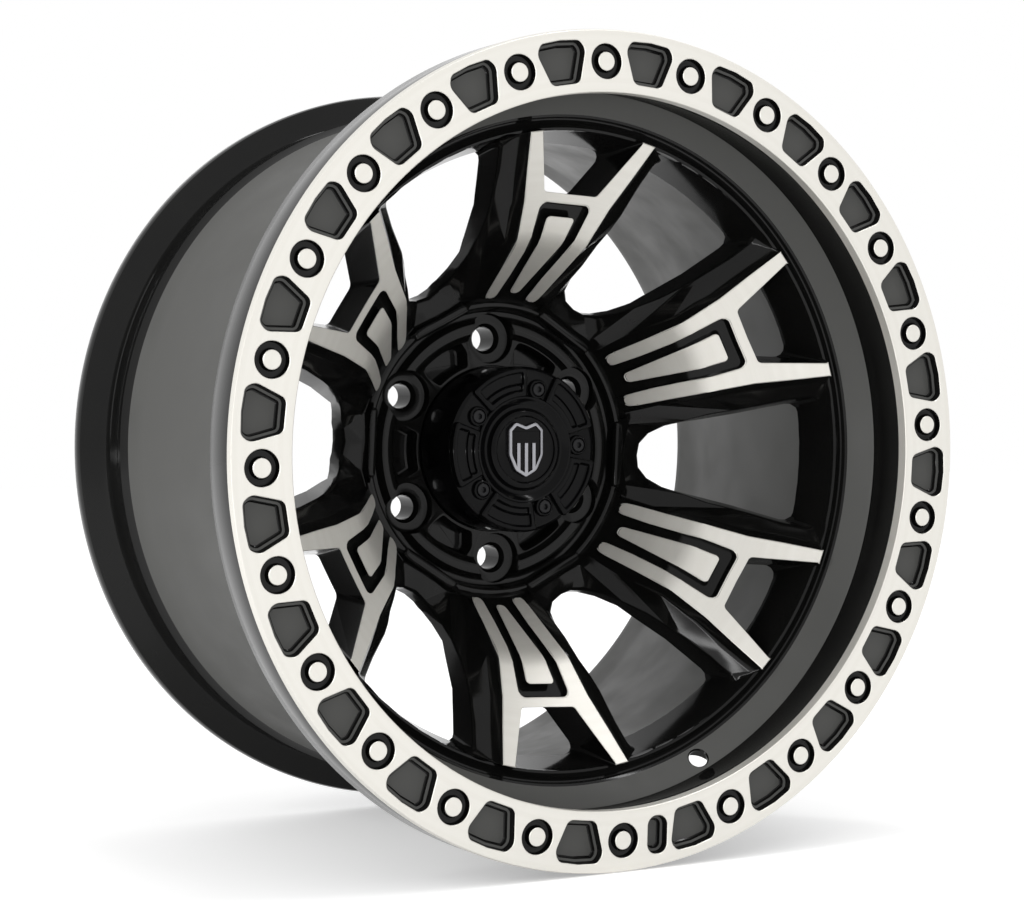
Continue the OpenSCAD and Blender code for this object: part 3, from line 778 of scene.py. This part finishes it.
    def valve_cutter(self) -> Solid:
        """Cutter of the valve hole, chamfered in front and spot-faced on the tyre side."""
        r, wide, wall = self.valve_r, self.relief_r, self.valve_wall
        near, far = -12.0, 35.0
        profile = [
            (0.0, near), (r + 0.9, near), (r + 0.9, -0.1), (r, 0.8), (r, wall - 1.6), (r + 1.6, wall),
            (wide, wall), (wide, far), (0.0, far),
        ]
        cutter = Solid("valve").revolve(profile, 64, closed=False)
        cutter.turned(Matrix.Rotation(-math.radians(self.valve_lean), 4, "X"))
        cutter.turned(Matrix.Translation((0, *self.valve_at)))
        return cutter.turned(clockwise(self.valve_turn))

    def build(self) -> Solid:
        """The rim with everything cut into it."""
        rim = self.shell()
        rim.cut(self.disc_grooves())
        rim.cut(self.pockets())
        rim.cut(self.slot_pocket())
        return rim


@dataclass
class Hub:
    """Hub with its recess, stud bosses and bore."""

    recess_r: float = 73.5
    crest_w: float = 7.0
    crest_z: float = -151.0
    channel_r: float = 87.0
    channel_z: float = -157.0
    shoulder_z: float = -148.5
    floor_z: float = -155.0
    rib_count: int = 6
    rib_turn: float = 32.9
    rib_half: float = 23.0
    rib_w: float = 6.8
    rib_h: float = 2.0
    boss_r: float = 18.8
    pad_z: float = -183.0
    pad_r: float = 84.0
    bore_r: float = 53.05
    bore_len: float = 9.0
    lip_r: float = 49.0
    seat_z: float = -160.0
    snap_z: float = -168.8
    foot_r: float = 52.4
    studs: int = 6
    stud_circle_r: float = 69.85
    stud_turn: float = -1.6
    stud_r: float = 7.75
    cone_r: float = 9.8
    nut_r: float = 16.0
    nut_z: float = -162.0
    web_z: float = -167.0

    def body(self) -> Solid:
        """Spins the hub from its profile."""
        r, s, e, k, c = self.recess_r, self.snap_z, self.crest_w, self.channel_r, self.channel_z
        profile = [
            (self.lip_r, self.pad_z + self.bore_len), (self.lip_r, s - 1.2),
            (self.lip_r + 1.3, s - 1.2), (self.lip_r + 1.3, s + 1.2), (self.lip_r, s + 1.2),
            (self.lip_r, self.seat_z), (self.foot_r, self.seat_z), (self.foot_r, self.floor_z - 0.5),
            (self.foot_r + 0.5, self.floor_z), (r - 3.4, self.floor_z), (r - 2.4, self.floor_z + 0.5),
            (r - 0.3, self.crest_z - 1.5), (r + 0.3, self.crest_z - 0.5), (r + 1.3, self.crest_z),
            (r + e - 1.4, self.crest_z), (r + e - 0.3, self.crest_z - 0.35),
            (r + e + 0.5, self.crest_z - 1.3), (r + e + 2.2, c + 1.4), (r + e + 2.8, c + 0.5),
            (r + e + 3.8, c), (k - 1.2, c), (k - 0.2, c + 0.5), (k + 0.3, c + 1.5),
            (k + 1.4, self.shoulder_z - 2.2), (k + 1.9, self.shoulder_z - 0.9),
            (k + 3.0, self.shoulder_z - 0.1), (k + 4.4, self.shoulder_z),
            (k + 7.0, self.shoulder_z - 1), (k + 11.0, self.shoulder_z - 2.6), (k + 17.0, -166.0),
            (self.pad_r + 3, self.pad_z + 2), (self.pad_r, self.pad_z), (self.bore_r + 1, self.pad_z),
            (self.bore_r, self.pad_z + 1), (self.bore_r, self.pad_z + self.bore_len),
        ]
        return Solid("hub").revolve(profile, 288)

    def stud_cutter(self) -> Solid:
        """Cutter of the nut pockets, cone seats and stud holes."""
        cone = (self.cone_r - self.stud_r) * 1.732
        profile = [
            (0.0, -100.0), (self.nut_r, -100.0), (self.nut_r, self.nut_z + 1.2),
            (self.nut_r - 0.4, self.nut_z + 0.4), (self.nut_r - 1.2, self.nut_z),
            (self.cone_r, self.nut_z), (self.stud_r, self.nut_z - cone), (self.stud_r, -200.0),
            (0.0, -200.0),
        ]
        cutter = Solid("studs").revolve(profile, 64, closed=False)
        cutter.turned(Matrix.Translation((0, self.stud_circle_r, 0)))
        return cutter.repeated(spread(self.studs, self.stud_turn))

    def web_cutter(self) -> Solid:
        """Cutter of the pockets between the stud bosses."""
        half = 180 / self.studs
        x, y = polar(self.stud_circle_r, half)
        inner, outer = self.foot_r + 2.4, self.recess_r - 3.5
        corners: list[Corner] = []
        for a in (0.0, 4.0, 8.0, 12.0):
            px, py = polar(inner, a)
            if math.hypot(px - x, py - y) > self.boss_r:
                corners.append((px, py, 0.0))
        px, py = corners.pop()[:2]
        corners.append((px, py, 2.0))
        wx, wy = polar(self.boss_r + 0.3, 80.0)
        corners.append((x - wx, y + wy - 1.5, 7.0))
        for a in (12.5, 8.0, 4.0, 0.0):
            px, py = polar(outer, a)
            corners.append((px, py, 2.4 if a == 12.5 else 0.0))
        outline = rounded(mirrored(corners))
        down = (
            (0.9, -140.0), (0.9, self.floor_z + 0.03), (0.25, self.floor_z - 0.2),
            (-0.1, self.floor_z - 0.9), (-0.9, self.web_z + 2.2), (-1.4, self.web_z + 0.7),
            (-2.6, self.web_z),
        )
        return Solid("webs").stepped(outline, down).repeated(spread(self.studs, self.stud_turn + half))

    def ribs(self) -> Solid:
        """Straight bars with rounded tops at the inner ends of the windows."""
        y, h, w = self.channel_r - 1.4, self.rib_half, self.rib_w
        top = self.shoulder_z + self.rib_h
        outline = rounded([(-h, y, 2.4), (h, y, 2.4), (h - 3, y + w, 2.6), (3 - h, y + w, 2.6)], 5)
        down = (
            (-2.6, top), (-1.5, top - 0.25), (-0.7, top - 0.9), (-0.2, top - 1.9), (0.0, top - 3.2),
            (0.3, self.channel_z - 3),
        )
        return Solid("ribs").stepped(outline, down).repeated(spread(self.rib_count, self.rib_turn))

    def build(self) -> Solid:
        """The hub with its ribs, before its holes are cut."""
        hub = self.body()
        hub.join(self.ribs())
        return hub


@dataclass
class Casting:
    """The whole wheel casting."""

    rim: Rim = field(default_factory=Rim)
    spokes: Spokes = field(default_factory=Spokes)
    hub: Hub = field(default_factory=Hub)

    def build(self) -> Solid:
        """Joins rim, spokes and hub into one closed solid."""
        whole = self.rim.build()
        spokes = self.spokes.build()
        spokes.join(self.hub.build())
        spokes.cut(self.hub.stud_cutter())
        spokes.cut(self.hub.web_cutter())
        whole.join(spokes)
        whole.cut(self.rim.valve_cutter())
        self.spokes.paint_root(whole)
        whole.name = "wheel_casting"
        return whole


@dataclass
class Cap:
    """Tall centre cap: drum, stepped face, dome ring and five raised arc pads."""

    face_z: float = -113.0
    top_r: float = 51.7
    foot_r: float = 52.0
    foot_z: float = -160.0
    skirt_r: float = 48.7
    wall: float = 3.0
    dome_r: float = 28.0
    screws: int = 5
    screw_turn: float = 14.4
    screw_circle_r: float = 38.5
    screw_head_r: float = 4.0
    side_hole_r: float = 2.75
    side_hole_turn: float = -98.5
    sunk: float = 2.4

    def drum(self) -> Solid:
        """Spins the cap's wall, face and snap skirt."""
        t, r, f, s, w = self.face_z, self.top_r, self.foot_z, self.skirt_r, self.wall
        d = self.dome_r
        profile = [
            (0.0, t - 1.0), (d - 8.4, t - 1.0), (d - 7.8, t - 0.7), (d - 7.4, t + 0.4),
            (d - 6.8, t + 0.8), (d - 4.6, t + 0.5), (d - 3.7, t - 0.1), (d - 2.8, t - 2.6),
            (d - 2.2, t - 3.2), (d - 0.8, t - 3.4), (d + 0.2, t - 3.1), (d + 2.9, t - 1.1),
            (d + 3.7, t - 0.6), (d + 4.7, t - 0.6), (d + 5.2, t - 1.0), (d + 5.6, t - 2.8),
            (d + 6.1, t - 3.2), (r - 3.4, t - 3.2), (r - 1.6, t - 3.6), (r - 0.5, t - 4.5),
            (r, t - 6.0), (self.foot_r, f + 1.0), (self.foot_r, f + 0.4), (self.foot_r - 0.4, f),
            (s, f), (s, f - 7.9), (s + 1, f - 8.3), (s + 1, f - 9.3), (s - 0.6, f - 10.8),
            (s - w + 0.4, f - 10.8), (s - w + 0.4, f + 2), (self.foot_r - w, f + 6), (r - w, t - 6.5),
            (0.0, t - 6.5),
        ]
        return Solid("cap").revolve(profile, 192, closed=False)

    def sector(self, inner: float, outer: float, half: float, corner: float) -> list[Point]:
        """Outline of an arc-shaped piece about the top of the cap.

        Args:
            inner: inner radius.
            outer: outer radius.
            half: half of its angle, in degrees.
            corner: radius of its corners.

        Returns:
            The rounded outline, counter-clockwise.
        """
        steps = 8
        parts = [(2 * k / steps - 1, corner if k in (0, steps) else 0.0) for k in range(steps + 1)]
        low = [(*polar(inner, half * part), r) for part, r in parts]
        high = [(*polar(outer, -half * part), r) for part, r in parts]
        return rounded(low + high, 4)

    def pads(self) -> Solid:
        """The raised arcs between the screws, out to the cap's edge, each with two sunk arcs inside."""
        t, step = self.face_z, 360 / self.screws
        edge = self.sector(self.dome_r + 4.6, self.top_r - 0.7, step / 2 - 12.0, 2.0)
        levels = [(-1.5, t), (-0.7, t - 0.25), (-0.2, t - 0.75), (0.0, t - 1.5), (0.3, t - 6.0)]
        pad = Solid("pads").stepped(edge, levels)
        d, r, floor = self.dome_r, self.top_r, t - self.sunk
        down = [
            (0.5, t + 3.0), (0.5, t + 0.03), (0.1, t - 0.3), (-0.1, t - 0.8), (-0.5, floor + 0.3),
            (-0.9, floor),
        ]
        for inner, outer, spare, corner in ((d + 8.2, r - 11.2, 17.5, 1.0), (d + 12.4, r - 3.8, 16.0, 1.2)):
            arc = self.sector(inner, outer, step / 2 - spare, corner)
            pad.cut(Solid("sunk arc").stepped(arc, down))
        return pad.repeated(spread(self.screws, self.screw_turn + step / 2))

    def at_screws(self, piece: Solid) -> Solid:
        """Copies a piece made on the wheel axis to every screw's place."""
        piece.turned(Matrix.Translation((0, self.screw_circle_r, 0)))
        return piece.repeated(spread(self.screws, self.screw_turn))

    def bosses(self) -> Solid:
        """Low round seats of the screws."""
        t, r = self.face_z, self.screw_head_r
        profile = [
            (0.0, t - 0.6), (r + 1.4, t - 0.6), (r + 1.9, t - 0.9), (r + 2.2, t - 1.6),
            (r + 2.4, t - 4.2), (0.0, t - 4.2),
        ]
        return self.at_screws(Solid("bosses").revolve(profile, 48, closed=False))

    def holes(self) -> Solid:
        """Cutter of the screw holes with their counterbores."""
        t, r = self.face_z, self.screw_head_r
        profile = [
            (0.0, t + 5.0), (r + 0.7, t + 5.0), (r + 0.9, t - 0.5), (r + 0.4, t - 1.1),
            (r + 0.4, t - 3.0), (2.3, t - 3.0), (2.3, t - 20.0), (0.0, t - 20.0),
        ]
        return self.at_screws(Solid("screw holes").revolve(profile, 48, closed=False))

    def side_hole(self) -> Solid:
        """Cutter of the small hole in the side of the drum."""
        r = self.side_hole_r
        depth = 8.6
        profile = [(0.0, 0.0), (r, 0.0), (r, depth), (r + 0.6, depth + 0.6), (r + 0.6, 16.0), (0.0, 16.0)]
        hole = Solid("side hole").revolve(profile, 48, closed=False)
        hole.turned(Matrix.Rotation(-math.pi / 2, 4, "X"))
        hole.turned(Matrix.Translation((0, self.top_r - depth, self.face_z - 31)))
        return hole.turned(clockwise(self.side_hole_turn))

    def build(self) -> Solid:
        """The cap as one closed solid."""
        cap = self.drum()
        cap.join(self.pads())
        cap.join(self.bosses())
        cap.cut(self.holes())
        cap.cut(self.side_hole())
        cap.name = "centre_cap_shell"
        return cap


@dataclass
class Badge:
    """Plain shield with a raised rim and a sunk field."""

    height: float = 34.0
    width: float = 24.0
    thick: float = 1.6
    base_z: float = -113.7

    def outline(self) -> list[Point]:
        """Outline of the shield."""
        w, h = self.width / 2, self.height
        corners = [
            (0.0, 0.0, 2.0), (w * 0.62, h * 0.12, 6.0), (w, h * 0.4, 8.0), (w, h * 0.86, 2.0),
            (w * 0.6, h, 3.0), (0.0, h * 0.92, 2.0), (-w * 0.6, h, 3.0), (-w, h * 0.86, 2.0),
            (-w, h * 0.4, 8.0), (-w * 0.62, h * 0.12, 6.0),
        ]
        return [(x, y - h / 2) for x, y in rounded(corners, 5)]

    def build(self) -> Solid:
        """The badge as one closed solid: bright rim and ribs, dark field."""
        top = self.base_z + self.thick
        rim = self.outline()
        levels = [(-0.5, top), (-0.1, top - 0.2), (0.0, top - 0.5), (0.0, self.base_z)]
        badge = Solid("badge").stepped(rim, levels)
        badge.tint(lambda middle, normal: Finish.TURNED)
        field_edge = grown(rim, -2.0)
        down = [(0.25, top + 1.0), (0.25, top + 0.05), (0.0, top - 0.2), (-0.3, top - 0.7)]
        sunk = Solid("field").stepped(field_edge, down)
        half, foot, head = 1.1, -30.0, 4.0
        for x in (-5.4, 0.0, 5.4):
            rib = [(x - half, foot), (x + half, foot), (x + half, head), (x - half, head)]
            sunk.cut(Solid("rib").prism(rib, top + 3.0, top - 3.0))
        sunk.tint(lambda middle, normal: Finish.PAINTED_SHEEN_AND_FIELD)
        badge.cut(sunk)
        badge.name = "badge_plate"
        return badge


@dataclass
class Screws:
    """Socket head screws of the cap."""

    cap: Cap = field(default_factory=Cap)
    shank_r: float = 2.0
    socket_r: float = 2.0

    def build(self) -> Solid:
        """All the screws, as separate closed shells in one piece."""
        top = self.cap.face_z - 0.1
        r = self.cap.screw_head_r
        shank, under, end = self.shank_r, top - 2.6, top - 11.5
        profile = [
            (0.0, top), (r - 0.5, top), (r - 0.1, top - 0.25), (r, top - 0.6), (r, under),
            (shank, under), (shank, end), (0.0, end),
        ]
        screw = Solid("screw").revolve(profile, 48, closed=False)
        hexagon = [polar(self.socket_r, -60 * k) for k in range(6)]
        screw.cut(Solid("socket").prism(hexagon, top + 1, top - 1.8))
        self.cap.at_screws(screw)
        screw.name = "cap_screw_set"
        return screw


def linear(hex_colour: str) -> tuple[float, float, float, float]:
    """Turns an sRGB hex colour into linear RGBA."""
    raw = [int(hex_colour[i : i + 2], 16) / 255 for i in (1, 3, 5)]
    r, g, b = [c / 12.92 if c <= 0.04045 else ((c + 0.055) / 1.055) ** 2.4 for c in raw]
    return r, g, b, 1.0


def add_node(
    tree: bpy.types.NodeTree,
    kind: str,
    settings: dict | None = None,
    links: dict | None = None,
) -> bpy.types.Node:
    """Adds a shader node.

    Args:
        tree: the node tree.
        kind: node type name.
        settings: node attributes, and values of inputs by socket name or number.
        links: output sockets to link to inputs by socket name or number.

    Returns:
        The new node.
    """
    node = tree.nodes.new(kind)
    for key, value in (settings or {}).items():
        if isinstance(key, str) and hasattr(node, key) and key not in node.inputs:
            setattr(node, key, value)
        else:
            node.inputs[key].default_value = value
    for key, socket in (links or {}).items():
        tree.links.new(socket, node.inputs[key])
    return node


def new_material(name: str) -> tuple[bpy.types.Material, bpy.types.NodeTree]:
    """Makes an empty node material."""
    material = bpy.data.materials.new(name)
    material.use_nodes = True
    material.node_tree.nodes.clear()
    return material, material.node_tree


def noise(tree: bpy.types.NodeTree, vector: Socket, mm: float, detail: float) -> Socket:
    """Noise from 0 to 1 whose features are about so many millimetres wide."""
    settings = {"Scale": 1000 / mm, "Detail": detail}
    return add_node(tree, "ShaderNodeTexNoise", settings, {"Vector": vector}).outputs["Fac"]


@dataclass(frozen=True)
class Coat:
    """What every finish shares: two tones, a roughness that varies and a fine relief."""

    name: str
    colour: str
    shade: str
    roughness: float
    relief_depth: float
    relief_strength: float
    rough_top: float

    def surface(
        self,
        tree: bpy.types.NodeTree,
        tone_by: Socket,
        rough_by: Socket,
        relief_by: Socket,
        settings: dict,
    ) -> None:
        """Adds the shader and the output.

        Args:
            tree: the material's node tree.
            tone_by: pattern that blends the two tones.
            rough_by: pattern that varies the roughness.
            relief_by: pattern of the relief.
            settings: values of the shader's own sockets.
        """
        colours = {"data_type": "RGBA", 6: linear(self.colour), 7: linear(self.shade)}
        tone = add_node(tree, "ShaderNodeMix", colours, {0: tone_by})
        ends = {"To Min": self.roughness * 0.8, "To Max": self.roughness * self.rough_top}
        rough = add_node(
            tree,
            "ShaderNodeMapRange",
            {"From Min": 0.3, "From Max": 0.7, **ends},
            {"Value": rough_by},
        )
        relief = {"Strength": self.relief_strength, "Distance": self.relief_depth / 1000}
        bump = add_node(tree, "ShaderNodeBump", relief, {"Height": relief_by})
        links = {
            "Base Color": tone.outputs[2],
            "Roughness": rough.outputs["Result"],
            "Normal": bump.outputs["Normal"],
        }
        shader = add_node(tree, "ShaderNodeBsdfPrincipled", settings, links)
        add_node(tree, "ShaderNodeOutputMaterial", {}, {"Surface": shader.outputs["BSDF"]})


@dataclass(frozen=True)
class GlossPaint(Coat):
    """Gloss black powder coat under clear, sprayed on cast aluminium: deep, slightly wavy reflections."""

    name: str = "gloss_black_powder_coat"
    colour: str = "#0B0B0B"
    shade: str = "#141413"
    roughness: float = 0.1
    relief_depth: float = 0.01
    relief_strength: float = 0.35
    rough_top: float = 1.3
    wave_mm: float = 3.0
    cloud_mm: float = 45.0
    specular: float = 0.2

    def make(self) -> bpy.types.Material:
        """Builds the material."""
        material, tree = new_material(self.name)
        place = add_node(tree, "ShaderNodeTexCoord").outputs["Object"]
        cloud = add_node(
            tree,
            "ShaderNodeTexNoise",
            {"Scale": 1000 / self.cloud_mm, "Detail": 3.0, "Roughness": 0.55},
            {"Vector": place},
        ).outputs["Fac"]
        peel = noise(tree, place, self.wave_mm, 1.0)
        gloss = {"Metallic": 0.0, "IOR": 1.5, "Specular IOR Level": self.specular}
        self.surface(tree, cloud, cloud, peel, gloss)
        return material


@dataclass(frozen=True)
class TurnedAluminium(Coat):
    """Bright aluminium turned on a lathe under thin clear coat: fine rings about the wheel axis."""

    name: str = "diamond_turned_aluminium"
    colour: str = "#E6E4DE"
    shade: str = "#D8D5CD"
    roughness: float = 0.42
    relief_depth: float = 0.004
    relief_strength: float = 0.5
    rough_top: float = 1.25
    metallic: float = 0.66
    feed_mm: float = 0.55
    band_mm: float = 6.0

    def make(self) -> bpy.types.Material:
        """Builds the material. The lathe feed of about 0.2 mm is drawn coarser, so that it shows."""
        material, tree = new_material(self.name)
        place = add_node(tree, "ShaderNodeTexCoord").outputs["Object"]
        split = add_node(tree, "ShaderNodeSeparateXYZ", {}, {"Vector": place}).outputs
        flat = add_node(tree, "ShaderNodeCombineXYZ", {}, {"X": split["X"], "Y": split["Z"]})
        radius = add_node(tree, "ShaderNodeVectorMath", {"operation": "LENGTH"}, {0: flat.outputs["Vector"]})
        along = add_node(tree, "ShaderNodeCombineXYZ", {}, {"X": radius.outputs["Value"]}).outputs["Vector"]
        rings = noise(tree, along, self.feed_mm, 2.0)
        bands = noise(tree, along, self.band_mm, 3.0)
        self.surface(tree, bands, rings, rings, {"Metallic": self.metallic})
        return material


@dataclass(frozen=True)
class Studio:
    """Camera, floor, world and lamps."""

    camera_at: tuple[float, float, float] = (-0.7159, -1.2869, 0.0280)
    right: tuple[float, float, float] = (0.8725, -0.4886, 0.0)
    up: tuple[float, float, float] = (0.0112, 0.0200, 0.9997)
    lens: float = 82.16
    ground: float = -0.244
    fill: float = 0.8
    lift: float = 0.36
    floor_half: float = 6.0
    sensor: float = 36.0

    def camera(self) -> None:
        """Places the camera where the photo was taken from."""
        data = bpy.data.cameras.new("camera")
        data.lens, data.sensor_width = self.lens, self.sensor
        data.clip_start, data.clip_end = 0.05, 50.0
        obj = bpy.data.objects.new("camera", data)
        right, up = Vector(self.right), Vector(self.up)
        back = right.cross(up)
        turn = Matrix((right, up, back)).transposed().to_4x4()
        obj.matrix_world = Matrix.Translation(self.camera_at) @ turn
        bpy.context.scene.collection.objects.link(obj)
        bpy.context.scene.camera = obj

    def seen(self, tree: bpy.types.NodeTree) -> Socket:
        """One for camera, glossy and transmission rays, zero for the rays that only light things."""
        path = add_node(tree, "ShaderNodeLightPath")
        ray = path.outputs["Is Camera Ray"]
        for kind in ("Is Transmission Ray", "Is Glossy Ray"):
            both = {0: ray, 1: path.outputs[kind]}
            ray = add_node(tree, "ShaderNodeMath", {"operation": "MAXIMUM"}, both).outputs[0]
        return ray

    def world(self) -> None:
        """White background with a soft even light."""
        world = bpy.data.worlds.new("studio")
        world.use_nodes = True
        tree = world.node_tree
        tree.nodes.clear()
        fill, white = [
            add_node(tree, "ShaderNodeBackground", {"Color": WHITE, "Strength": strength}).outputs[0]
            for strength in (self.fill, 1.0)
        ]
        mix = add_node(tree, "ShaderNodeMixShader", {}, {0: self.seen(tree), 1: fill, 2: white})
        add_node(tree, "ShaderNodeOutputWorld", {}, {"Surface": mix.outputs[0]})
        bpy.context.scene.world = world

    def floor(self) -> bpy.types.Object:
        """White floor that keeps the wheel's shadow."""
        bm = bmesh.new()
        bmesh.ops.create_grid(bm, x_segments=2, y_segments=2, size=self.floor_half)
        bmesh.ops.translate(bm, vec=(0, 0, self.ground), verts=bm.verts[:])
        mesh = bpy.data.meshes.new("floor")
        bm.to_mesh(mesh)
        bm.free()
        obj = bpy.data.objects.new("floor", mesh)
        material, tree = new_material("white_studio_paper")
        shader = add_node(tree, "ShaderNodeBsdfDiffuse", {"Color": PAPER}).outputs[0]
        lift = add_node(tree, "ShaderNodeEmission", {"Color": WHITE, "Strength": self.lift})
        both = add_node(tree, "ShaderNodeAddShader", {}, {0: shader, 1: lift.outputs[0]}).outputs[0]
        mix = add_node(tree, "ShaderNodeMixShader", {}, {0: self.seen(tree), 1: shader, 2: both})
        add_node(tree, "ShaderNodeOutputMaterial", {}, {"Surface": mix.outputs[0]})
        mesh.materials.append(material)
        bpy.context.scene.collection.objects.link(obj)
        return obj

    def lamp(self, name: str, at: Corner, size: Point, watts: float) -> None:
        """Adds a soft box that looks at the wheel."""
        data = bpy.data.lights.new(name, "AREA")
        data.shape, data.size, data.size_y, data.energy = "RECTANGLE", size[0], size[1], watts
        obj = bpy.data.objects.new(name, data)
        turn = (-Vector(at)).to_track_quat("-Z", "Y").to_matrix().to_4x4()
        obj.matrix_world = Matrix.Translation(at) @ turn
        bpy.context.scene.collection.objects.link(obj)

    def build(self) -> None:
        """Sets up the whole studio."""
        bpy.context.scene.view_settings.view_transform = "Standard"
        self.camera()
        self.world()
        self.floor()
        self.lamp("top_strip", (0.5, -0.6, 1.9), (0.12, 1.8), 11.0)
        self.lamp("left_strip", (-2.2, -0.5, 0.9), (0.15, 1.8), 17.0)
        self.lamp("low_left_strip", (-1.9, -1.1, -0.1), (1.4, 0.08), 5.0)
        self.lamp("front_box", (0.75, -2.2, 0.45), (1.2, 1.4), 2.0)


def place(solid: Solid, materials: Sequence[bpy.types.Material], node: str, slot: str) -> bpy.types.Object:
    """Stands a finished solid in the row's frame and hides the CAD node it stands for.

    Args:
        solid: the finished solid, in the wheel's frame.
        materials: a material for each Finish, in order.
        node: CAD node the piece stands for.
        slot: the record's material slot; not used.

    Returns:
        The new object.
    """
    bmesh.ops.remove_doubles(solid.bm, verts=solid.bm.verts[:], dist=WELD)
    solid.turned(STAND)
    obj = solid.to_object()
    for k, material in enumerate(materials):
        obj.data.materials[k] = material
    obj.data.shade_smooth()
    obj.data.set_sharp_from_angle(angle=math.radians(SHARP_ANGLE))
    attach(obj, "root")
    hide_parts(node)
    LOG.info("%s: %d faces", obj.name, len(obj.data.polygons))
    return obj


def main() -> None:
    """Builds every piece and the studio."""
    logging.basicConfig(level=logging.INFO, format="%(message)s")
    paint = GlossPaint().make()
    turned = TurnedAluminium().make()
    # A lighter grey copy of the black powder coat, used as a painted reflection of the white floor and
    # surroundings where the casting takes its third slot.
    painted_sheen_coat = GlossPaint(
        name="black_powder_coat_painted_sheen", colour="#464644", shade="#525250", roughness=0.42, specular=0.3
    ).make()
    plastic = GlossPaint(
        name="gloss_black_abs", colour="#060607", shade="#0C0C0D", roughness=0.12, specular=0.1
    ).make()
    bright = TurnedAluminium(
        name="polished_zinc_badge", colour="#A6A6AA", shade="#8E8E94", roughness=0.22
    ).make()
    steel = GlossPaint(name="black_oxide_steel", colour="#141416", shade="#1E1E20", roughness=0.3).make()
    place(Casting().build(), (paint, turned, painted_sheen_coat), "wheel", "wheel_paint")
    place(Cap().build(), (plastic, turned, plastic), "centre_cap", "cap_plastic")
    place(Badge().build(), (bright, bright, plastic), "cap_badge", "badge_metal")
    place(Screws().build(), (steel, steel, steel), "cap_screws", "screw_steel")
    Studio().build()


if __name__ == "__main__":
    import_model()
    main()
